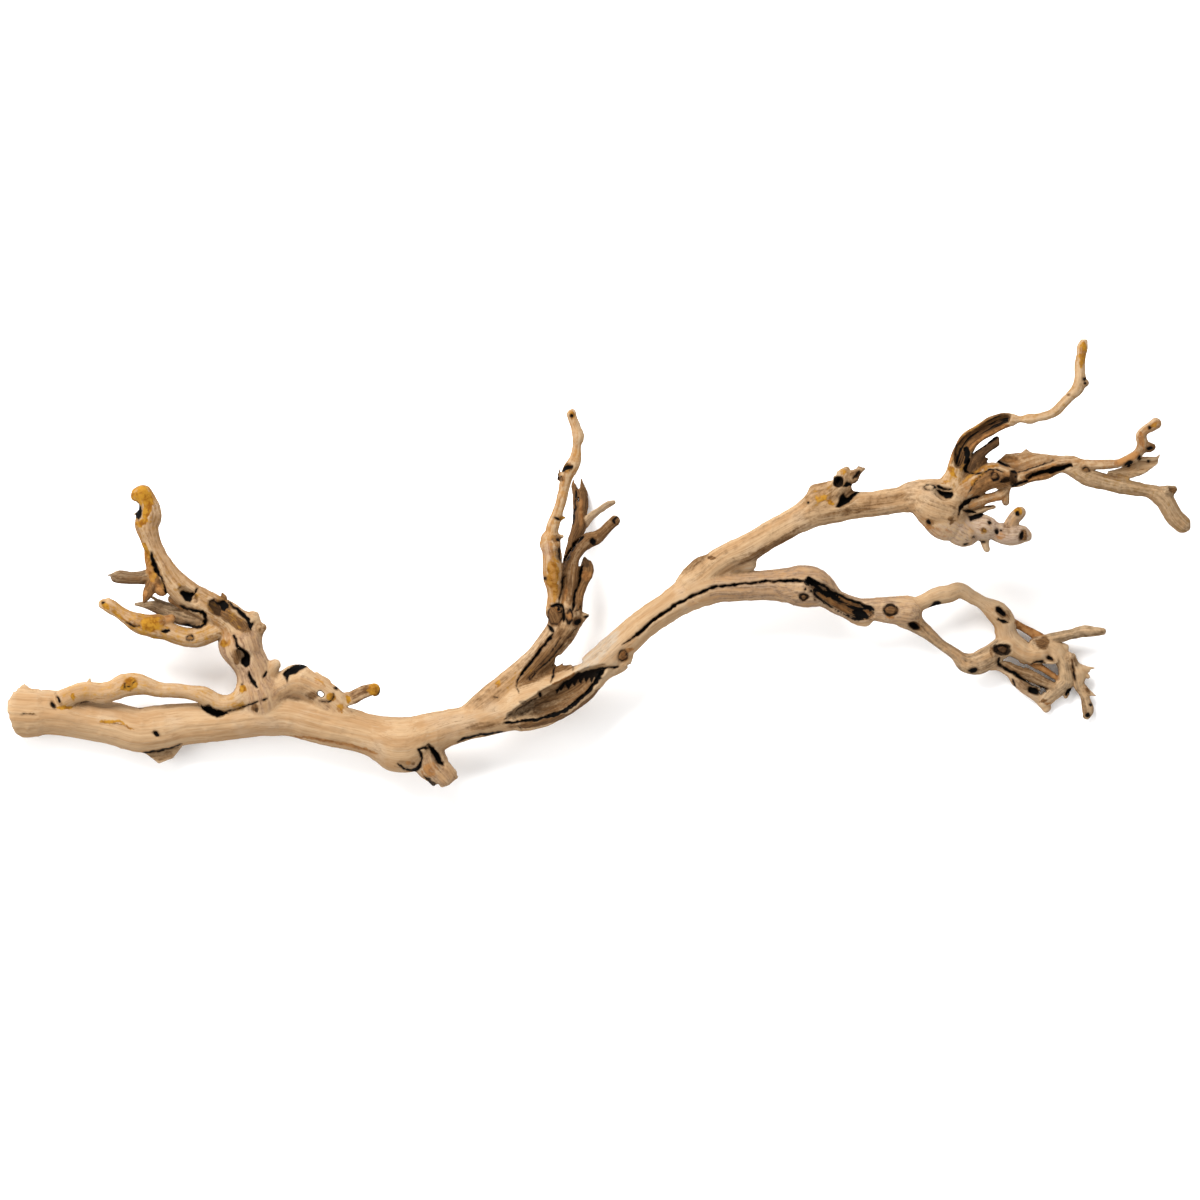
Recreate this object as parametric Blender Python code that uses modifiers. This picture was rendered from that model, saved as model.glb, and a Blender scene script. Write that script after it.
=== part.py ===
"""A sandblasted grapevine branch, 0.9 m long, lying on a level surface.

The wood is one grown piece. Each limb is a tube along its own middle line, the torn sheets of wood are
flat outlines, and a voxel remesh grows them together. The hollows are then cut out, and the three low
places that the branch rests on are worn flat at z = 0.

World frame: X along the branch from the sawn butt to the thin end, Y across it, Z up, origin under the
middle of its box. Lengths in the tables are millimetres.
"""

import math

import bmesh
import bpy
from mathutils import Matrix, Vector

MM = 0.001

# Driving dimensions
LENGTH = 900.0
BUTT_RADIUS = 19.0
FUSE_VOXEL = 1.5
# What fusing and faceting take off a round limb's half width.
LOST_IN_FUSING = 0.35
SMOOTH_STEPS = 3
TRIANGLE_SHARE = 0.042
TUBE_STEPS = 5
TUBE_SIDES = 3
SCOOP_STEPS = 2
SCOOP_SIDES = 1
# How far a limb's end bulges, as a share of its half width.
DOME = 0.85
FLOOR_BLOCK = (1000.0, 400.0, 60.0)

# The table's middle lines were read at this length, and scale with LENGTH.
DRAWN_LENGTH = 900.0
SCALE = LENGTH / DRAWN_LENGTH * MM

# Stations of each limb's middle line: x, y, z and half width.
LIMBS = {
    "trunk": [
        (-449.5, -112.4, 17.5, 15.5), (-446, -112.8, 17.5, 18), (-436.5, -113.5, 17.5, BUTT_RADIUS),
        (-424, -113, 17, 17.4), (-410, -114, 16.5, 16.9), (-390, -118.3, 16.5, 15.6),
        (-370, -121.6, 18, 16.2), (-350, -126.6, 20, 17.2), (-335, -125, 21, 17.4),
        (-320, -122.6, 22, 16), (-300, -121, 24, 15.5), (-280, -119.3, 25.5, 14.8),
        (-260, -116, 27, 15.3), (-248, -115, 27.5, 16.2), (-240, -114.7, 28, 15.8),
        (-220, -119, 29, 15.8), (-200, -124, 30.5, 15.8), (-185, -127.3, 31.5, 15.4),
        (-172, -130.8, 32.5, 15.9), (-163, -133.5, 33, 17.6), (-150, -136, 34, 19.5),
        (-130, -129.8, 35.5, 16), (-115, -125, 36.5, 14), (-100, -121.5, 37.5, 13),
        (-85, -117.4, 38.5, 13.7), (-70, -112.5, 39.5, 15.2), (-50, -106, 41, 20),
        (-35, -101.6, 42, 18.2), (-20, -94.7, 43, 15.6), (-2, -78.8, 44, 12.8), (20, -58.4, 46, 11.8),
        (35, -45.2, 47, 11.3), (50, -34.7, 48, 11.5), (65, -25.3, 49, 12.1), (80, -19.2, 50, 12.2),
    ],
    "butt_lip": [(-447, -97.5, 18, 3), (-443, -95, 20, 3.2), (-438, -94, 21, 3.2), (-430, -95, 21, 2.6)],
    "bottom_knob": [
        (-160, -140, 34, 12), (-154, -144.3, 34, 14), (-145, -146, 33.5, 12.3), (-138, -147, 33, 10),
    ],
    "stub": [(-132, -137, 34, 13.5), (-128.5, -150.5, 32, 13), (-119, -161.6, 29.5, 12)],
    "scoop_rim": [(-8, -92.5, 44, 4.8), (8, -82.3, 45, 4.3), (20, -75.5, 46, 4.6), (24, -71, 46, 3)],
    "crotch_peg": [(-36, -88, 42, 8), (-28, -81, 43, 4.6), (-22, -78, 43.5, 3)],
    "side_twig": [
        (-407, -103, 28, 8), (-398, -98.8, 31, 7.3), (-390, -97, 32, 7.3), (-378, -98.2, 33, 8),
        (-370, -96.4, 34, 8), (-362, -92.8, 35, 8.9), (-352, -91.5, 35.5, 8.5), (-345, -92.9, 36, 7.2),
        (-335, -95.8, 36.5, 5.9), (-325, -96.2, 37, 5.7), (-310, -97.8, 37, 5.7),
        (-302.5, -99.5, 37, 6.8), (-295.5, -103.2, 37, 6.6), (-288, -106, 37, 6.4),
        (-280, -106, 37, 6.8), (-272, -101.5, 38, 7.5), (-266, -95, 38.5, 9),
    ],
    "crown_stem": [
        (-256, -110, 30, 14), (-258, -98, 34, 15.5), (-261.3, -88, 37, 13.7), (-264.2, -78, 39, 13.4),
        (-269.8, -68, 41, 14.6), (-273, -60, 42.5, 16.4), (-272, -54, 43, 13.5),
    ],
    "crown_burr": [(-270, -46, 43, 9.5), (-264, -42.5, 43, 6.5), (-261.5, -39.5, 43, 3.2)],
    "crown_burr_end": [(-266, -54, 42, 9), (-259, -49.3, 43, 5), (-255.8, -48.2, 44, 3.2)],
    "crown_upright": [
        (-273, -56, 43, 13), (-280, -43.5, 45, 13), (-292, -35.3, 47.5, 11.6),
        (-305, -27.8, 50.5, 10.7), (-316, -20.3, 53.5, 10.2), (-326, -9.8, 56.5, 8.7),
        (-333, 2, 59, 7.6), (-338.8, 13, 61.5, 7.4), (-342, 22, 63.5, 8), (-343.8, 30, 65, 9.2),
        (-341.8, 38, 66, 9.8), (-343.8, 46, 67.5, 8.3), (-346.8, 52.6, 69, 7.6),
    ],
    "crown_hook": [(-348, 54.5, 69, 4.8), (-351, 53.8, 69, 4.4), (-353, 50.8, 69, 2.8)],
    "crown_web": [(-298, -38, 43, 8), (-312, -32.5, 45, 5), (-325, -27, 48, 3.6)],
    "crown_strut": [
        (-341, 15, 61, 3.5), (-342, 6, 59, 4.2), (-340.5, -2, 56.5, 4.5), (-338.5, -9, 54.5, 4.8),
        (-336, -15, 53.5, 4.8), (-333, -19.2, 53, 5.2),
    ],
    "crown_peg": [(-339, -14, 54, 5), (-342.8, -22, 55, 4.4), (-345.8, -28.3, 55.5, 2.2)],
    "crown_grey_twig": [
        (-332, -7, 54, 6.5), (-342, -9.5, 52, 5.8), (-350, -10.3, 50, 5), (-358, -10.5, 48.5, 5),
        (-366, -9.5, 47, 4.9), (-371, -9, 46.3, 3), (-374, -8.6, 46, 1.4),
    ],
    "crown_splinter": [
        (-298, -43, 41, 6.5), (-310, -41.4, 40, 6.8), (-320, -39.2, 39, 6.5), (-330, -35.8, 38, 5.4),
        (-338, -32.6, 37, 4.4), (-346, -31, 36, 2.6), (-353, -30.7, 35, 1.5),
    ],
    "crown_finger": [
        (-279, -48, 44, 9), (-288, -48.5, 45, 8.5), (-297, -52, 46, 8), (-307, -55.8, 47, 8),
        (-318, -55, 48, 7.2), (-330, -50.8, 49, 7.5), (-340, -48.2, 50, 8.2), (-350, -45.2, 50.5, 7.6),
        (-358, -41, 51, 5.6), (-366, -36, 51.5, 4.8), (-372, -32, 52, 5.2), (-377, -30.3, 52, 3.9),
    ],
    "hump": [
        (-256, -100, 34, 14), (-243, -94, 36, 9.6), (-230, -88.8, 37, 12.4), (-218, -92.8, 36.5, 12),
        (-206, -100.5, 35, 12.6), (-195, -109.5, 33.5, 10.8),
    ],
    "hump_knob": [(-252, -82, 40, 6.5), (-246.8, -76.8, 42, 4.4)],
    "hump_twig": [
        (-200, -107, 34, 7), (-191.5, -104.6, 34.5, 5.6), (-185, -101.2, 35, 5.6), (-178, -98, 36, 5.6),
        (-171, -95.8, 36.5, 5),
    ],
    "spur_stem": [
        (-95, -114.5, 38, 10.3), (-81, -104.5, 39, 12.6), (-68.3, -94.3, 39.5, 12.5),
        (-51.3, -79, 41, 11.8), (-37.3, -62.6, 42.5, 11.1), (-27.5, -48.5, 43.5, 12.2),
        (-25, -39, 44, 12.7), (-25, -32, 44.5, 9),
    ],
    "spur_spike": [(-16, -42, 44, 6), (-11.5, -39.8, 44, 3), (-8.8, -39.5, 44, 1.6)],
    "spur_burl": [(-30, -44, 48, 7), (-33, -37, 50, 7.5)],
    "spur_twig": [
        (-33, -34, 50, 7), (-33.3, -22, 52.5, 5.6), (-35, -12, 55, 6.6), (-35.3, -3, 57, 7.6),
        (-35, 5, 58.5, 7.5), (-35.8, 11, 60, 7.3), (-36.6, 15.5, 61, 8), (-35.2, 24, 62, 5.3),
        (-34.3, 30, 63, 5), (-31.2, 38, 64, 4.1), (-28.3, 48, 65.5, 3.9), (-26, 58, 67, 4.1),
        (-24.6, 65, 68, 4.9), (-21.8, 71, 69, 5.8), (-18.8, 77, 70, 5.2), (-17, 84, 71, 3.9),
        (-16.3, 91, 72, 3.5), (-15.3, 97, 72.5, 4.8), (-17, 104, 73, 3.8), (-19.3, 110, 73.5, 3.7),
        (-20.4, 114, 74, 3.8),
    ],
    "spur_middle": [
        (-23, -34, 46, 6.5), (-21.5, -18, 46.5, 6), (-20.5, -5, 46, 6.5), (-18, 5, 45, 5.5),
        (-13, 12.5, 44, 5), (-8, 18, 43.5, 6.2), (-2.5, 19.5, 43, 5.4), (3, 23.8, 43, 4.1),
        (8, 29, 43.5, 3.8), (12.5, 33, 44, 4),
    ],
    "spur_plank": [
        (-25, -16, 38, 6), (-24.5, -6, 34, 4.8), (-22.5, 6, 29, 4), (-19.5, 17, 24, 4.6),
        (-15, 28, 18, 5.6), (-14, 40, 11.5, 5.6), (-13.6, 50, 5.8, 6.2), (-14.5, 56, 4.2, 5.2),
    ],
    "spur_plank_tips": [(-17, 55, 3.4, 3.4), (-18.2, 60, 3.4, 2.6), (-19, 64, 3.6, 1.4)],
    "spur_plank_tips_right": [(-13.5, 55, 3.4, 3.4), (-13.5, 60, 3.4, 2.6), (-13.3, 64.5, 3.6, 1.4)],
    "spur_side_splinter": [
        (-11, 31, 16.5, 3.8), (-6, 36, 18, 2.8), (1, 41.2, 19.5, 2.2), (8, 45.7, 21, 2.5),
        (12, 47.2, 21.5, 1.8),
    ],
    "spur_bulb": [
        (-18, -36, 46, 5.5), (-14.8, -22, 45, 4.2), (-11.5, -13, 44, 4.3), (-9.3, -5, 43, 5.7),
        (-9.8, 0, 42, 4.8), (-10.3, 3.5, 41.5, 2.6),
    ],
    "lower_limb": [
        (65, -25, 49, 11.9), (80, -19, 50, 12.5), (92, -17, 50, 12), (105, -17.2, 49.5, 11.6),
        (120, -16.5, 49, 11.5), (135, -16.3, 48, 12.2), (148, -16.6, 46.8, 14.2), (157, -16.8, 46, 16),
        (164, -17.6, 44.8, 14.9), (170, -20.1, 43.5, 12), (175, -24, 42.5, 9.9), (180, -28, 41, 8.8),
        (189, -32.2, 39, 9.2), (200, -35.6, 36.5, 10), (210, -34.5, 34.5, 8.8), (222, -35, 33, 10.8),
        (235, -36.5, 31.5, 11.5),
    ],
    "limb_point": [(199, -38.5, 35, 8), (204, -43.5, 34.5, 4.4)],
    "upper_arm": [
        (233, -34, 31.5, 9.2), (245, -29.7, 31, 5.7), (252, -26.8, 30.5, 6.3), (262, -23.4, 29.5, 6.9),
        (268, -22.4, 29, 6.8), (274, -20.2, 28, 6.3), (285, -25.2, 25.5, 5.3), (295.3, -30.7, 23, 5.7),
        (304.5, -37, 20.5, 8.3), (309.8, -45, 18, 8.6), (311.3, -53, 16.5, 8.2),
        (317, -61.2, 15.5, 8.4), (327, -67.5, 14.5, 7.8), (338, -67.5, 14.5, 8),
    ],
    "lower_arm": [
        (235, -41, 31, 8), (243, -46.4, 29.5, 6.6), (250.2, -52.1, 27.5, 5), (257.2, -57.8, 25.5, 4.3),
        (265.3, -64, 23.5, 4), (272.4, -69.1, 21.5, 4.5), (280, -75, 19.5, 7), (287, -76.2, 18, 8.4),
        (296, -72.4, 16.5, 8.9), (305, -66.3, 16, 8.3), (312, -61, 15.5, 8.5),
    ],
    "right_strand": [
        (336, -63, 15, 8), (343, -61.5, 15, 5.5), (349.8, -65.3, 14, 6), (354, -72.5, 12.5, 5.8),
        (356.5, -81, 10.5, 5.6), (357, -90, 8.5, 6), (350.3, -95.5, 6.5, 6.4), (345, -100.3, 5.3, 5.8),
        (340.5, -105.7, 4.5, 4.6),
    ],
    "cross_pegs": [(358, -93, 8, 4), (357.5, -98, 7.5, 2.6), (356.8, -101, 7, 1.6)],
    "far_strand": [
        (361.3, -71.3, 15, 3), (363.5, -77, 13, 3.8), (367.3, -83, 10.5, 5), (367, -92, 9, 4.3),
        (370.6, -100, 7.5, 3.6), (373.4, -107.5, 6, 4.5), (374, -112, 5.5, 4.5),
        (373.1, -115.6, 5.5, 3.2),
    ],
    "far_strand_barb": [(365, -80, 11, 4.5), (369.5, -80.5, 11, 3.6), (374, -81, 11, 1.6)],
    "far_strand_knob": [(370, -95, 8.5, 3.8), (373.5, -97.6, 8.5, 2.8), (376.3, -98.8, 8.5, 1.6)],
    "far_strand_crumbs": [(352, -64, 14, 4), (356.6, -64, 14, 2.6)],
    "grey_strand": [
        (304, -72.5, 16, 3.2), (312, -77.2, 15, 3.1), (319, -81, 13.5, 3.8), (327, -83.4, 12, 5),
        (335, -87.2, 10.5, 5), (343, -91, 9, 4.5), (352, -94, 7.5, 4.5),
    ],
    "lower_strand": [
        (298, -75, 15, 6), (307, -78.7, 13, 3.9), (314, -82.7, 11.5, 3.9), (319.8, -89.2, 9.8, 4.6),
        (325, -94, 8.3, 4.6), (331, -98.5, 6.8, 4.1), (337, -104, 5, 3.4), (342.5, -110, 3.4, 3.4),
    ],
    "strand_web": [(326, -92.5, 8, 3.4), (332, -95, 7.5, 2.6), (337.3, -95.6, 7.5, 1.6)],
    "torn_strand": [
        (324, -72.5, 13, 3.6), (332, -76.2, 11.5, 3.4), (340, -80.2, 11, 2.6), (347, -85, 10, 2.4),
        (351, -88, 9, 2.2),
    ],
    "orange_strip": [
        (311, -41.5, 16, 3.5), (320, -46.3, 13, 3), (327, -50.1, 12, 3), (333, -53.8, 12, 3.4),
        (339, -58.2, 12.5, 4.2),
    ],
    "lower_grey_twig": [
        (340, -59, 14, 4), (346, -56.5, 15, 4), (353, -55.2, 16, 4.2), (362, -53.2, 18, 4.2),
        (371, -51, 20, 4.5), (379, -51.5, 21, 3.8), (384.5, -51.4, 21.5, 3),
    ],
    "upper_limb": [
        (71, -15, 50, 11.5), (81.5, -7.4, 51.5, 10.7), (90.4, 0.3, 53, 10.5), (100.4, 6.6, 54.5, 10.5),
        (113.3, 12, 57, 10.9), (125.2, 19, 59.5, 10.4), (140, 27.5, 62.5, 10.2), (155, 35.6, 65.5, 11),
        (168, 42.2, 68, 13.2), (180, 44.3, 70, 13.2), (190, 44.8, 71.5, 11.4), (200, 45.2, 73, 10.1),
        (210, 46, 74, 9.7), (220, 47.4, 75.5, 9.7), (230, 49.1, 77, 9.9), (240, 50.9, 78, 12.3),
        (248, 49.8, 79, 14.8), (257, 46.2, 80, 18.2), (264, 44, 80, 17),
    ],
    "crotch_web": [(96, -6, 52, 6), (107, -1.2, 52.5, 5), (115, 0.6, 54, 5.6)],
    "torn_flap": [(69, -7.5, 52, 5.6), (77, 1.6, 54, 4), (82.5, 4.6, 56, 2.8), (86.5, 5.3, 57, 1.8)],
    "knob_stump": [
        (168, 47.5, 72, 11), (178, 53.5, 76, 8.5), (184.6, 61.5, 79, 7.2), (186.7, 67.2, 80, 6.4),
        (189.3, 71.2, 80.5, 4),
    ],
    "stump_neck": [(184, 54, 77, 6), (192, 59.2, 78, 4.4)],
    "knob_twiglet": [
        (188, 66.5, 80, 4.8), (195, 67.6, 80, 5.4), (198.3, 71, 80.5, 3.8), (201.7, 72.3, 81, 2.4),
    ],
    "crown_lobe": [
        (256, 46, 79, 16), (259, 38, 77, 15), (263.5, 33.4, 77, 15), (271, 29, 75, 12.2),
        (277.5, 24.3, 74, 11.3), (284, 22.4, 73.5, 6.6),
    ],
    "pale_lumps": [
        (279, 30, 74, 9), (286, 30, 74, 8.5), (292.5, 28.2, 73, 9.8), (300, 25.8, 72, 7.3),
        (308, 22.7, 71, 7.7), (315, 22.2, 70, 7.9), (321, 22.6, 69.5, 7), (325.5, 21.5, 69, 4.4),
    ],
    "pale_peg": [(293.3, 20, 72, 4.2), (294.2, 14.3, 71, 3.2), (295.3, 11.3, 70.5, 2.6)],
    "pale_twig": [
        (312.3, 25, 70, 5.4), (314.2, 31.5, 71, 5.3), (318.2, 37, 72.5, 5.2), (320.4, 39.3, 74, 4.6),
    ],
    "scooped_limb": [
        (265, 50, 80, 13), (269.5, 62, 81, 9), (272, 70, 82, 7.5), (274.2, 78, 83.5, 7.4),
        (277.2, 86.5, 85, 7.3), (281.4, 93.7, 87, 7), (288, 98.7, 89, 6.3), (295, 102.9, 91, 6.7),
        (300, 105.9, 92, 6.6), (305, 108, 93, 6.3), (310.6, 109.3, 94, 5.9), (316, 109.6, 95, 4.3),
        (320.5, 109.8, 95.5, 3.1), (326, 110, 96.5, 4.2), (334, 111.2, 98, 3.3), (341, 113, 99, 3.5),
        (346.7, 115.7, 100, 4), (352.3, 121.3, 101, 3.7), (358, 127.2, 101.5, 3.9),
        (363.7, 133.3, 101, 4.8), (365.3, 140, 100.5, 4.6), (365.2, 148, 99.5, 4),
        (365.6, 154, 98.5, 3.7), (366.6, 160, 97.5, 3.9), (367.6, 165, 96.5, 4.2),
        (368.7, 168.3, 95.8, 3.1),
    ],
    "scooped_limb_knot": [(366, 135.5, 101, 3.8), (369.6, 137.3, 101, 3)],
    "dark_stub": [
        (281, 65, 80, 6.5), (286, 73, 82, 6.8), (288.6, 79.2, 84, 5.9), (293.2, 83.8, 86, 5.2),
        (299, 88.7, 88, 5), (303.2, 92.6, 89.5, 4.4),
    ],
    "running_limb": [
        (270, 50, 80, 12), (282, 57.5, 81, 9.5), (291, 63.6, 82, 9.8), (300, 67.2, 82.5, 10),
        (310, 65.8, 82, 8.7), (320, 65.4, 81, 6.3), (330, 68.2, 80, 5.7), (340, 70.8, 79, 6.4),
        (350, 74.2, 78, 5.4), (358, 75.3, 77.5, 4.8), (365, 76, 77, 4), (372, 75.6, 77.5, 3.9),
        (380, 75.4, 78, 3.7), (390, 76, 79, 3.6), (398, 77.2, 80, 3.7), (405.3, 80.2, 81.5, 4.2),
        (411, 85.2, 83, 4), (413.6, 91.3, 84.5, 4.3), (412.4, 97.3, 86, 4.1), (415, 101.4, 87, 3.7),
        (419, 103.8, 88, 3.8), (423.5, 106.5, 89, 4.4),
    ],
    "running_knob": [(414, 89, 84, 3.8), (418.5, 88.7, 84, 3.9), (420.8, 88.7, 84, 3)],
    "outer_branch": [
        (356, 73.5, 76, 4.6), (363, 70.3, 75, 5.7), (370, 66.6, 74.5, 6.8), (378, 64.2, 74, 6.5),
        (388, 61.7, 73.5, 6.4), (398, 59.5, 73, 6.1), (408, 57.5, 72, 5.6), (418, 55.4, 70.5, 5.4),
        (426, 52.3, 69, 6.9), (431.5, 47.3, 67.5, 7.2), (435, 41.2, 66, 7.1), (439.3, 34.9, 64.5, 7),
        (444.4, 30.2, 63, 6.8),
    ],
    "outer_corner": [(431.5, 54, 69, 5.9), (437.4, 56.9, 69, 3.2)],
    "inner_strand": [
        (275, 41, 79, 4.6), (284, 45.8, 79.5, 5), (292, 48.7, 80, 4.5), (300, 50.9, 80, 3.6),
        (306, 52.7, 80, 4.3), (310, 57, 80, 3.8),
    ],
    "inner_peg": [(309.7, 56, 79.5, 3.4), (309.7, 50, 79, 3.2), (309.7, 47.2, 78.5, 3)],
    "inner_splinter": [
        (273, 38, 77, 4.5), (284, 38.7, 77, 3), (291, 40.7, 77, 2.6), (297.5, 43, 77, 1.7),
        (301, 43.2, 77, 1.4),
    ],
}

# Torn sheets of wood, as flat outlines in x and y. Each stands at a height with a thickness.
SHEETS = {
    "under_wedge": (
        15.0,
        10.0,
        [
            (-352, -138), (-346, -144.5), (-340, -148.5), (-336, -152.3), (-331, -150.5), (-325, -148),
            (-318, -139.5), (-325, -130), (-345, -130),
        ],
    ),
    "grey_sheet": (
        76.5,
        5.0,
        [
            (300, 72), (303, 78.6), (310, 83.9), (318, 83.4), (322, 85), (325, 87.5), (328, 85), (332, 84),
            (350, 82.6), (361, 82.6), (368, 79.2), (360, 73), (340, 70), (318, 66),
        ],
    ),
    "rugged_sheet": (
        73.5,
        5.0,
        [
            (388, 65), (387, 70.5), (397, 73.3), (403, 77), (411, 81), (420, 80.6), (426, 81.5),
            (425.5, 76.5), (424, 74.5), (417.5, 70.3), (411.5, 67), (404, 65), (400, 62),
        ],
    ),
    "crown_plate": (
        14.5,
        9.0,
        [
            (306, -58), (316.5, -50), (319, -55), (322.5, -59.8), (327, -61.5), (333, -60.5), (340, -58),
            (349, -62), (351, -75), (345, -76.5), (338, -75.5), (331, -77), (322, -71), (312, -68),
        ],
    ),
}

# Open hollows, as stations of the scoop that cut them: x, y, z and radius.
HOLLOWS = {
    "trunk_scoop": [
        (-68, -117.5, 53, 5), (-55, -113, 53.5, 9), (-40, -106.5, 54.5, 11), (-25, -98.5, 55.5, 10.5),
        (-10, -89, 56, 9), (3, -80.5, 57, 4.5),
    ],
    "limb_groove": [
        (160, -13, 58, 3), (170, -21.5, 55, 6), (180, -26.5, 51, 6.5), (192, -33, 46.5, 6.5),
        (203, -37.5, 43.5, 5.5), (208, -39.5, 42, 2.5),
    ],
    "crown_hollow": [(258, 56.5, 96, 4), (262.5, 54, 95, 6), (267, 54.5, 95, 4.5)],
    "scooped_face": [
        (273.5, 76, 89, 3.5), (275, 84, 91, 5), (278.5, 91.5, 92.5, 5), (287, 98.5, 94, 4.5),
        (296, 103.5, 96, 4.2), (304, 107.5, 97.5, 4), (309.5, 109.5, 98, 3),
    ],
    "stump_cleft": [(183.5, 44.5, 82.5, 2), (189, 48.5, 82, 3.4), (197, 54, 80, 2.4)],
    "stump_ring": [(181.5, 62.5, 88, 4.2), (182.8, 62.5, 83, 3.4)],
    "hump_mouth": [(-238, -84.5, 50, 3), (-232, -82, 48, 4.2), (-226, -78.5, 47, 3)],
    "stem_hollow": [(-267.5, -79, 55, 2.6), (-269, -72, 55, 4.6), (-273, -66, 55.5, 3)],
    "upright_hollow": [(-307, -28, 61.5, 3), (-311, -24, 62, 4.5), (-317, -19.5, 64, 3)],
    "twig_hollow": [(-303, -111, 38, 2.5), (-297, -110.5, 38, 3.2), (-287, -114, 38, 2.5)],
    "stub_slot": [(-130, -139.5, 48, 2.4), (-125, -146, 45, 2.8), (-118, -154, 42, 2)],
    "running_groove": [(326, 66.2, 85, 1.8), (336, 68.5, 84, 2.4), (347, 71.3, 83, 2.4), (358, 75, 82, 1.6)],
    "running_pocket": [(309, 63, 91, 2.6), (315, 61.5, 88, 2.4)],
    "knot_upper_arm": [(305.5, -35.5, 28, 2.6), (308.5, -38.5, 27, 2.4)],
    "knot_joint": [(304.5, -65, 25, 3), (309.5, -65, 24.5, 3.4)],
    "knot_lower_arm": [(240, -46.8, 37, 3.2), (243.5, -49.3, 35.5, 2.4)],
    "outer_knot": [(435.5, 57.5, 72, 1.8), (438, 53.5, 72, 1.8)],
}


def clear_scene():
    for old in list(bpy.data.objects):
        bpy.data.objects.remove(old)


def new_collection(name):
    collection = bpy.data.collections.new(name)
    bpy.context.scene.collection.children.link(collection)
    return collection


def wood_material():
    material = bpy.data.materials.new("grapevine_wood")
    material.use_nodes = True
    shader = material.node_tree.nodes["Principled BSDF"]
    shader.inputs["Base Color"].default_value = (0.62, 0.42, 0.25, 1)
    shader.inputs["Roughness"].default_value = 0.72
    shader.inputs["Metallic"].default_value = 0.0
    return material


def mesh_of(curve_data, name):
    """The curve's own surface as a mesh with its caps joined on."""
    guide = bpy.data.objects.new(name, curve_data)
    bpy.context.scene.collection.objects.link(guide)
    graph = bpy.context.evaluated_depsgraph_get()
    mesh = bpy.data.meshes.new_from_object(guide.evaluated_get(graph))
    bpy.data.objects.remove(guide)
    form = bmesh.new()
    form.from_mesh(mesh)
    bmesh.ops.remove_doubles(form, verts=form.verts, dist=0.01 * MM)
    bmesh.ops.recalc_face_normals(form, faces=form.faces)
    form.to_mesh(mesh)
    form.free()
    return mesh


def rounded_ends(stations):
    """The stations with a short dome beyond the last one, so that a twig doesn't end in a sharp disc."""
    before = Vector(stations[-2][:3])
    last = Vector(stations[-1][:3])
    radius = stations[-1][3]
    out = (last - before).normalized()
    dome = []
    for angle in (45, 75):
        turn = math.radians(angle)
        dome.append((*(last + out * radius * DOME * math.sin(turn)), radius * math.cos(turn)))
    return stations + dome


def tube(name, stations, steps, sides, spare=0.0):
    """A round limb along its stations, each with its own half width, made wider by the spare."""
    data = bpy.data.curves.new(name, "CURVE")
    data.dimensions = "3D"
    data.bevel_depth = MM
    data.bevel_resolution = sides
    data.resolution_u = steps
    data.use_fill_caps = True
    spline = data.splines.new("BEZIER")
    spline.bezier_points.add(len(stations) - 1)
    for point, (x, y, z, radius) in zip(spline.bezier_points, stations):
        point.co = Vector((x, y, z)) * SCALE
        point.radius = (radius + spare) * SCALE / MM
        point.handle_left_type = "AUTO"
        point.handle_right_type = "AUTO"
    return mesh_of(data, name)


def sheet(name, height, thickness, outline):
    """A flat torn sheet, its outline filled and given its thickness."""
    data = bpy.data.curves.new(name, "CURVE")
    data.dimensions = "2D"
    data.fill_mode = "BOTH"
    data.extrude = thickness / 2 * SCALE
    spline = data.splines.new("POLY")
    spline.points.add(len(outline) - 1)
    for point, (x, y) in zip(spline.points, outline):
        point.co = (x * SCALE, y * SCALE, 0, 1)
    spline.use_cyclic_u = True
    mesh = mesh_of(data, name)
    mesh.transform(Matrix.Translation((0, 0, height * SCALE)))
    return mesh


def joined(meshes, name):
    """One mesh that holds all of these."""
    form = bmesh.new()
    for mesh in meshes:
        form.from_mesh(mesh)
        bpy.data.meshes.remove(mesh)
    mesh = bpy.data.meshes.new(name)
    form.to_mesh(mesh)
    form.free()
    return mesh


def cutter(name, mesh, collection):
    """An object that only cuts."""
    obj = bpy.data.objects.new(name, mesh)
    obj.hide_render = True
    obj.display_type = "WIRE"
    collection.objects.link(obj)
    return obj


def floor_block():
    """The block below z = 0 that wears the resting places flat."""
    width, depth, height = (side * SCALE for side in FLOOR_BLOCK)
    below = Matrix.Translation((0, 0, -height / 2)) @ Matrix.Diagonal((width, depth, height, 1))
    form = bmesh.new()
    bmesh.ops.create_cube(form, size=1, matrix=below)
    mesh = bpy.data.meshes.new("floor_block")
    form.to_mesh(mesh)
    form.free()
    return mesh


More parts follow.
